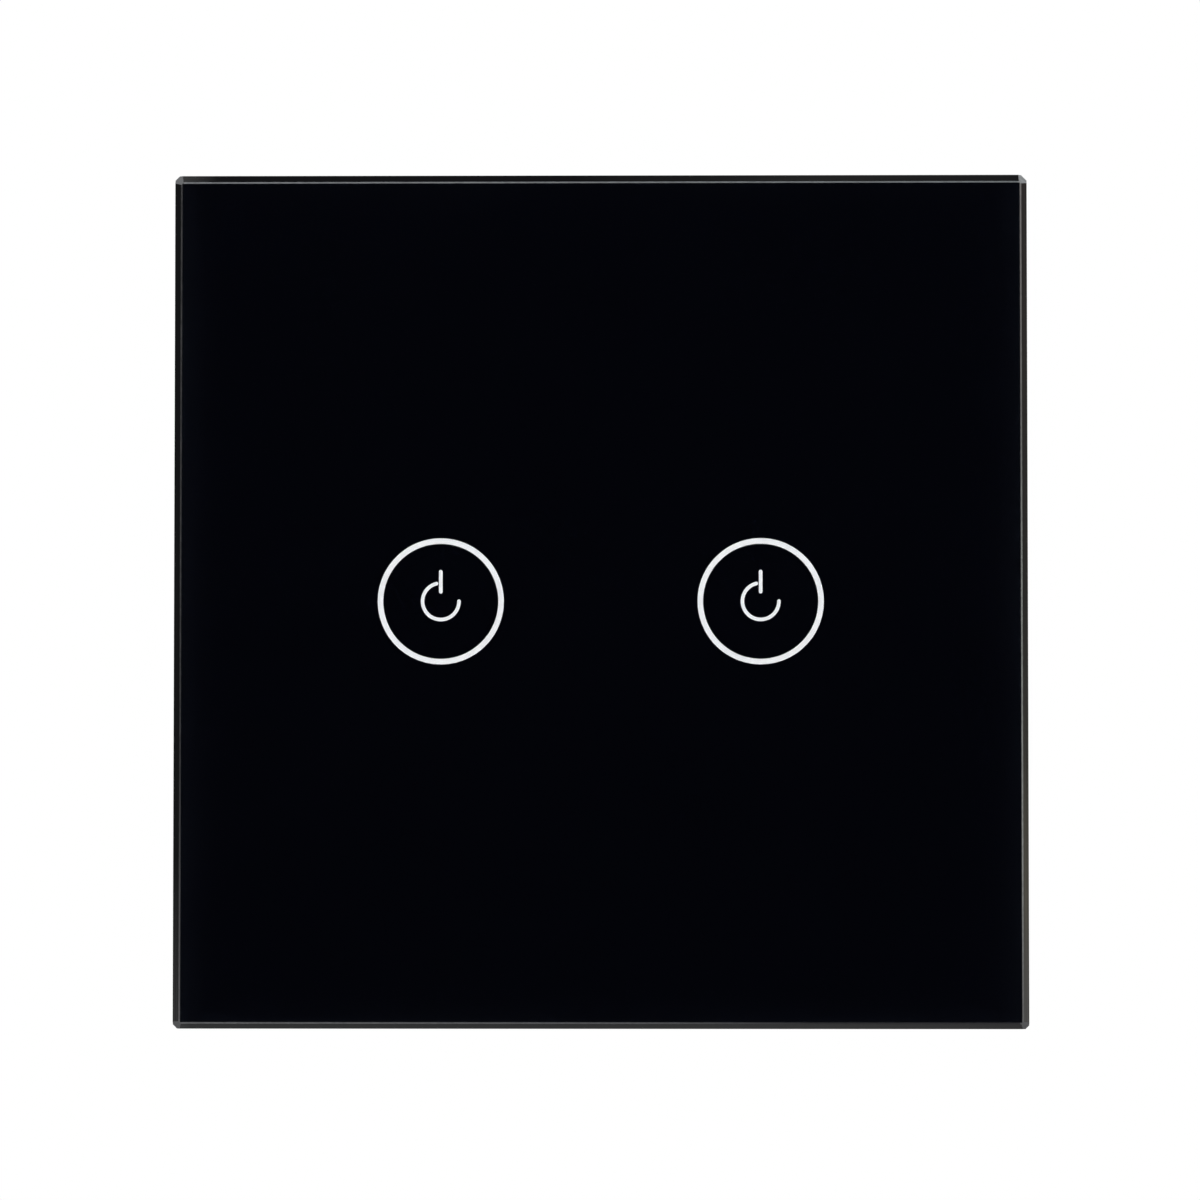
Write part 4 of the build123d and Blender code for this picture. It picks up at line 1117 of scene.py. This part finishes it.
    def sign(self, name: str, x: float) -> Piece:
        """Models one power sign: a broken ring and a bar, both with round ends.

        Args:
            name: The piece's name.
            x: The key's centre, in metres.

        Returns:
            The sign, in front of the black print.
        """
        half_run = math.radians(360 - self.sign_gap_degrees) / 2
        start = 1.5 * math.pi - half_run
        out = Vector((math.cos(start), 0, math.sin(start)))
        travel = Vector((-math.sin(start), 0, math.cos(start)))
        hub = out * self.sign_radius
        ring = circle(name, 24, self.sign_stroke / 2, hub, (QUARTER, QUARTER - start, 0))
        with editing(ring):
            pick_all()
            bpy.ops.mesh.bisect(plane_co=hub, plane_no=travel, clear_outer=True, threshold=HAIR)
            pick(ring, Element.EDGES, lambda edge: all(
                abs(travel.dot(v.co - hub)) < MERGE for v in edge.verts
            ))
            bpy.ops.mesh.spin(steps=48, angle=half_run, center=(0, 0, 0), axis=(0, 1, 0))
        applied(ring, "MIRROR", use_axis=(True, False, False), merge_threshold=MERGE)
        ring.rotation_euler = (0, math.radians(self.sign_turn_degrees), 0)
        settled(ring, name)
        half = self.bar_width / 2
        bar = circle("bar", 26, half, (0, 0, self.bar_low + half))
        with editing(bar):
            pick(bar, Element.VERTS, lambda v: v.co.z > self.bar_low + half)
            bpy.ops.transform.translate(value=(0, 0, self.bar_high - self.bar_low - self.bar_width))
        whole = joined([ring, bar], name)
        with editing(whole):
            pick_all()
            extrude(self.print_depth)
        whole.location = (x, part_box("black_ink")[0][1] - self.print_depth, 0)
        return cleaned(settled(whole, name))


# ---- Touch board ----


@dataclass
class TouchBoard:
    """The front board with its springs, light guides, lamps and chip."""

    wire: float = 0.50 * MM
    coil_radius: float = 5.20 * MM
    turns: int = 3
    turn_steps: int = 56
    board_gap: float = 0.12 * MM
    elbow: float = 0.50 * MM
    leg: float = 0.50 * MM

    def build(self) -> None:
        """Winds the springs, and dresses the nodes."""
        for side in Side:
            self.spring(side)
            dress(Stock.MILKY, f"light_guide_{side.value}")
        dress(Stock.BOARD, "touch_board")
        dress(Stock.LAMP, "key_leds")
        dress(Stock.CHIP, "touch_controller", "header_strip")
        dress(Stock.GOLD, "header_pins")

    def spring(self, side: Side) -> None:
        """Winds one touch spring from round wire, with a leg that goes into the board.

        Args:
            side: Which key it serves.
        """
        node = f"touch_spring_{side.value}"
        name = f"spring_wire_{side.value}"
        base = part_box("touch_board")[0][1] - self.board_gap - self.wire / 2
        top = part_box(node)[0][1] + self.wire / 2
        start = Vector((self.coil_radius, base, 0))
        coil = circle(name, 14, self.wire / 2, start, (0, 0, 0), "NOTHING")
        wound(coil, self.turns, top - base, self.turn_steps * self.turns)
        near = self.wire * 0.55
        with editing(coil):
            pick(coil, Element.VERTS, lambda v: (v.co - start).length < near and abs(v.co.z) < NEAR)
            hub = start + Vector((0, self.elbow, 0))
            bpy.ops.mesh.spin(steps=8, angle=QUARTER, center=hub, axis=(-1, 0, 0))
            extrude(self.leg)
        coil.location = (middle(f"light_guide_{side.value}").x, 0, 0)
        settled(coil, name)
        finished(smoothed(cleaned(coil), 50.0), [Stock.SPRING], "base", [node])


# ---- Screws ----


class Drive(Enum):
    """The recess in a screw's head."""

    CROSS = "cross"
    SLOT = "slot"


@dataclass(frozen=True)
class Screw:
    """A machine or tapping screw whose head looks to the rear."""

    head_radius: float
    head_height: float
    shank_radius: float
    pitch: float
    drive: Drive
    dome: float
    head_sides: int = 56
    core_sides: int = 28
    turn_steps: int = 28
    slot_half: float = 0.45 * MM
    slot_reach_share: float = 1.2
    cross_reach_share: float = 0.62
    cross_half_share: float = 0.17
    cross_depth_share: float = 0.62
    cross_taper: float = 0.42
    ridge_share: float = 0.42
    root_share: float = 1.2
    tip_share: float = 0.35
    overlap: float = 0.05 * MM

    def model(self, name: str, axis: Vector, tip: float, seat: float) -> Piece:
        """Models the screw.

        Args:
            name: The piece's name.
            axis: Any point of its axis, in metres.
            tip: The depth of its tip.
            seat: The depth that its head sits on.

        Returns:
            The screw, in its place.
        """
        top = seat + self.head_height
        head = rod(f"{name}_head", axis, self.head_radius, seat, top, self.head_sides)
        with editing(head):
            blunt(head, top, self.dome, 5)
            blunt(head, seat, self.dome / 5)
        for cutter in self.cutters(axis.x, axis.z, top):
            cut(head, cutter)
        return joined([head, self.shank(axis, tip, seat)], name)

    def cutters(self, x: float, z: float, top: float) -> list[Piece]:
        """Solids that cut the recess.

        Args:
            x: The screw's axis, in metres.
            z: The screw's axis, in metres.
            top: The depth of the head's end.

        Returns:
            One cutter for a slot, and two tapered ones for a cross.
        """
        above = top + 0.5 * MM
        if self.drive is Drive.SLOT:
            half, reach = self.slot_half, self.head_radius * self.slot_reach_share
            low = (x - reach, top - self.head_height / 2, z - half)
            return [block("slot", low, (x + reach, above, z + half))]
        made = []
        reach, half = self.head_radius * self.cross_reach_share, self.head_radius * self.cross_half_share
        floor = top - self.head_height * self.cross_depth_share
        for wide, tall in ((reach, half), (half, reach)):
            arm = block("arm", (x - wide, floor, z - tall), (x + wide, above, z + tall))
            with editing(arm):
                pick(arm, Element.FACES, lambda face: face.normal.y < -FACING)
                share = (self.cross_taper, 1, self.cross_taper)
                bpy.ops.transform.resize(value=share, center_override=(x, floor, z))
            made.append(arm)
        return made

    def shank(self, axis: Vector, tip: float, seat: float) -> Piece:
        """Models the threaded shank as one helical ridge round a core.

        Args:
            axis: Any point of the screw's axis, in metres.
            tip: The depth of its tip.
            seat: The depth that the head sits on.

        Returns:
            The shank.
        """
        ridge = self.ridge_share * self.pitch
        root = self.shank_radius - self.root_share * ridge
        place = (self.shank_radius - ridge, tip + ridge, 0)
        thread = circle("thread", 3, ridge, place, (0, 0, -QUARTER), "NOTHING")
        run = seat - tip - 2 * ridge
        wound(thread, run / self.pitch, run, int(self.turn_steps * run / self.pitch))
        thread.location = (axis.x, 0, axis.z)
        settled(thread, "thread")
        core = rod("core", axis, root, tip, seat + self.overlap, self.core_sides)
        with editing(core):
            blunt(core, tip, root * self.tip_share)
        return joined([core, cleaned(thread)], "shank")


@dataclass
class Fasteners:
    """The screws of the rear housing, the front board and the terminals."""

    housing: Screw = Screw(2.1 * MM, 1.7 * MM, 1.3 * MM, 0.9 * MM, Drive.CROSS, 0.55 * MM)
    board: Screw = Screw(1.8 * MM, 1.1 * MM, 0.95 * MM, 0.7 * MM, Drive.CROSS, 0.4 * MM)
    clamp: Screw = Screw(2.8 * MM, 2.2 * MM, 1.7 * MM, 0.6 * MM, Drive.SLOT, 0.35 * MM)

    def build(self) -> None:
        """Models every screw and ties it to its body."""
        self.row("housing_screw_set", "housing_screws", self.housing)
        self.row("board_screw_set", "touch_board_screws", self.board)
        for n in range(1, POLES + 1):
            node = f"clamp_screw_{n}"
            low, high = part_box(node)
            name = f"terminal_screw_{n}"
            piece = self.clamp.model(name, middle(node), low[1], high[1] - self.clamp.head_height)
            finished(smoothed(piece), [Stock.ZINC], node, [node])

    def row(self, name: str, node: str, screw: Screw) -> None:
        """Models one screw and copies it to each corner or end of a node's box, as one piece.

        Args:
            name: The name of the set.
            node: The CAD node that the set replaces.
            screw: The kind of screw.
        """
        low, high = corners(node)
        inset = Vector((screw.head_radius, 0, screw.head_radius))
        first, last = low + inset, high - inset
        made = [screw.model(f"{name}_1", first, low.y, high.y - screw.head_height)]
        across = sorted({0.0, round(last.x - first.x, 5)})
        for dx in across:
            for dz in (0.0, last.z - first.z):
                if dx or dz:
                    made.append(copied(made[0], f"{name}_{len(made) + 1}", (dx, 0, dz)))
        finished(smoothed(joined(made, name)), [Stock.ZINC], "base", [node])


# ---- Wall plate, rear housing and terminals ----


@dataclass
class RearParts:
    """The wall plate, the rear housing and the row of terminals."""

    figure_size: float = 1.89 * MM
    figure_relief: float = 0.04 * MM
    figure_margin: float = 0.40 * MM

    def build(self) -> None:
        """Dresses the mouldings and the terminals, and models their numbers."""
        dress(Stock.PLATE, "base_plate")
        dress(Stock.HOUSING, "rear_housing")
        dress(Stock.TIN, "terminal_tongues")
        for n in range(1, POLES + 1):
            dress(Stock.TERMINAL, f"terminal_body_{n}")
            dress(Stock.NICKEL, f"clamp_cage_{n}")
            self.figure(n)

    def figure(self, n: int) -> None:
        """Prints a terminal's number on its body, below the screw, to be read from behind.

        Args:
            n: The terminal's number.
        """
        low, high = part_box(f"terminal_body_{n}")
        bpy.ops.object.text_add()
        text = bpy.context.object
        text.data.body = str(n)
        text.data.align_x = "CENTER"
        text.data.size = self.figure_size
        text.data.extrude = self.figure_relief / 2
        text.data.resolution_u = 6
        only(text)
        bpy.ops.object.convert(target="MESH")
        figure = bpy.context.object
        figure.rotation_euler = (QUARTER, 0, math.pi)
        figure.location = ((low[0] + high[0]) / 2, high[1], low[2] + self.figure_margin)
        settled(figure, f"terminal_number_{n}")
        finished(cleaned(figure), [Stock.MARKING], "base")


# ---- Power board ----


@dataclass
class PowerBoard:
    """The mains board with its supply parts and two relays."""

    wire: float = 0.22 * MM

    def build(self) -> None:
        """Dresses the board's parts and winds the relays' coils."""
        dress(Stock.BOARD, "power_board")
        dress(Stock.FERRITE, "transformer_core")
        dress(Stock.TAPED, "transformer_winding")
        dress(Stock.BOX, "film_capacitor")
        dress(Stock.SLEEVE, "input_capacitor", "output_capacitor")
        dress(Stock.CHIP, "rectifier")
        dress(Stock.LACQUER, "fuse_resistor")
        dress(Stock.RESIN, "varistor")
        for side in Side:
            relay = f"relay_{side.value}"
            dress(Stock.COVER, f"{relay}_case", f"{relay}_base")
            dress(Stock.BOBBIN, f"{relay}_bobbin")
            dress(Stock.IRON, f"{relay}_core", f"{relay}_yoke", f"{relay}_armature")
            dress(Stock.COPPER, f"{relay}_leaf", f"{relay}_fixed_contact")
            self.coil(side)

    def coil(self, side: Side) -> None:
        """Winds one relay's coil as close turns of enamelled wire.

        Args:
            side: Which relay.
        """
        node = f"relay_{side.value}_winding"
        low, high = corners(node)
        centre = (low + high) / 2
        turns = int((high.y - low.y) / self.wire)
        pitch = (high.y - low.y) / turns
        bpy.ops.mesh.primitive_torus_add(
            major_segments=36,
            minor_segments=6,
            major_radius=(high.x - low.x) / 2 - self.wire / 2,
            minor_radius=self.wire / 2,
            location=(centre.x, low.y + pitch / 2, centre.z),
            rotation=(QUARTER, 0, 0),
        )
        coil = settled(bpy.context.object, f"coil_{side.value}")
        applied(
            coil, "ARRAY", count=turns, use_relative_offset=False, use_constant_offset=True,
            constant_offset_displace=(0, pitch, 0),
        )
        finished(smoothed(coil, 60.0), [Stock.ENAMEL], "base", [node])


# ---- Studio ----


@dataclass
class Studio:
    """Camera, lamps, floor and the room that the glass mirrors."""

    camera_place: Colour = (6.667 * MM, -509.145 * MM, -19.158 * MM)
    camera_turn_degrees: Colour = (92.204, -0.0009, 0.7699)
    lens: float = 149.0255
    sensor: float = 36.0
    nearest: float = 0.01
    room_dim: float = 0.20
    room_bright: float = 0.95
    floor_depth: float = 112 * MM
    floor_radius: float = 0.62
    floor_mirrored: Colour = (0.46, 0.46, 0.46)
    floor_seen: tuple[float, ...] = (0.83, 0.83, 0.83, 1.0)
    lamps: tuple[tuple[str, Colour, float, float], ...] = (
        ("lamp_front_right", (0.80, -0.74, 0.62), 10.0, 0.50),
        ("lamp_front_left", (-0.80, -0.74, 0.52), 8.0, 0.50),
        ("lamp_rear_left", (-0.66, 0.80, 0.66), 6.0, 0.45),
        ("lamp_rear_right", (0.70, 0.74, 0.40), 4.0, 0.45),
    )

    def build(self) -> None:
        """Sets up the whole studio."""
        self.camera()
        for name, place, power, size in self.lamps:
            self.lamp(name, place, power, size)
        self.room()
        self.floor()
        bpy.context.scene.view_settings.view_transform = "Standard"

    def camera(self) -> None:
        """Places the camera where the photograph was taken."""
        data = bpy.data.cameras.new("camera")
        data.sensor_width = self.sensor
        data.lens = self.lens
        data.clip_start = self.nearest
        camera = bpy.data.objects.new("camera", data)
        camera.location = self.camera_place
        camera.rotation_euler = [math.radians(turn) for turn in self.camera_turn_degrees]
        bpy.context.scene.collection.objects.link(camera)
        bpy.context.scene.camera = camera

    def lamp(self, name: str, place: Colour, power: float, size: float) -> None:
        """Hangs a soft square lamp that looks at the switch.

        Args:
            name: The lamp's name.
            place: Where it hangs, in metres.
            power: Its power, in watts.
            size: The length of its sides, in metres.
        """
        data = bpy.data.lights.new(name, "AREA")
        data.energy = power
        data.size = size
        lamp = bpy.data.objects.new(name, data)
        lamp.location = place
        lamp.rotation_euler = Vector(place).to_track_quat("Z", "Y").to_euler()
        bpy.context.scene.collection.objects.link(lamp)

    def room(self) -> None:
        """Builds the room: white to the camera, dark in front of the glass and paler towards the rear."""
        world = bpy.data.worlds.new("room")
        world.use_nodes = True
        bpy.context.scene.world = world
        world.node_tree.nodes.clear()
        nodes = Nodes(world.node_tree)
        generated = nodes.add("ShaderNodeTexCoord").outputs["Generated"]
        way = nodes.add("ShaderNodeSeparateXYZ", {0: generated}).outputs
        sideways = nodes.math("MULTIPLY_ADD", way[0], 0.08, self.room_dim)
        level = nodes.math("MULTIPLY_ADD", way[2], -0.10, sideways)
        front = nodes.span(way[1], -0.97, -0.45, 0.008, 1.0, interpolation_type="SMOOTHSTEP")
        rear = nodes.span(way[1], 0.12, 0.60, interpolation_type="SMOOTHSTEP")
        dim = nodes.math("MULTIPLY", level, front)
        gain = nodes.math("SUBTRACT", self.room_bright, dim)
        radiance = nodes.math("MULTIPLY_ADD", rear, gain, dim)
        mirrored = nodes.add("ShaderNodeBackground", {"Color": (0.96, 0.98, 1.0, 1.0), "Strength": radiance})
        seen = nodes.add("ShaderNodeBackground", {"Color": WHITE, "Strength": 1.0})
        camera_ray = nodes.add("ShaderNodeLightPath").outputs["Is Camera Ray"]
        both = nodes.blend(camera_ray, mirrored, seen)
        nodes.add("ShaderNodeOutputWorld", {0: both.outputs[0]})

    def floor(self) -> None:
        """Lays a pale floor below the switch, which melts into the room round it, also in reflections."""
        place = (0, 0, -self.floor_depth)
        floor = circle("floor", 96, self.floor_radius, place, (0, 0, 0))
        graph = Graph("pale_floor")
        x, y, _ = graph.axes()
        squares = graph.math("ADD", graph.math("POWER", x, 2.0), graph.math("POWER", y, 2.0))
        reach = graph.math("SQRT", squares)
        fade = graph.span(reach, self.floor_radius * 0.35, self.floor_radius * 0.85)
        graph.tint(graph.noise(4 * MM), self.floor_mirrored, 0.01)
        graph.shade({"Roughness": 0.9, "Specular IOR Level": 0.1})
        rays = graph.add("ShaderNodeLightPath").outputs
        pale = graph.add("ShaderNodeBsdfDiffuse", {"Color": self.floor_seen})
        white = graph.add("ShaderNodeEmission", {"Color": WHITE, "Strength": 1.0})
        open_room = graph.add("ShaderNodeBsdfTransparent")
        melt = graph.math("MULTIPLY", graph.span(fade, 0.0, 1.0, 0.5, 1.0), rays["Is Glossy Ray"])
        mirrored = graph.blend(melt, graph.shader, open_room)
        last = graph.blend(rays["Is Camera Ray"], mirrored, graph.blend(fade, pale, white))
        output = next(node for node in graph.tree.nodes if node.type == "OUTPUT_MATERIAL")
        graph.join(last.outputs[0], output.inputs[0])
        floor.data.materials.append(graph.material)


def main() -> None:
    """Builds the studio and every sub-assembly, and reports the pieces."""
    logging.basicConfig(level=logging.INFO, format="%(name)s: %(message)s")
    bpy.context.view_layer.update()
    for part in (Studio(), GlassFront(), TouchBoard(), Fasteners(), RearParts(), PowerBoard()):
        before = set(bpy.data.objects)
        part.build()
        new = sorted(piece.name for piece in bpy.data.objects if piece not in before)
        LOG.info("%s: %s", type(part).__name__, ", ".join(new) or "finishes only")


if __name__ == "__main__":
    main()
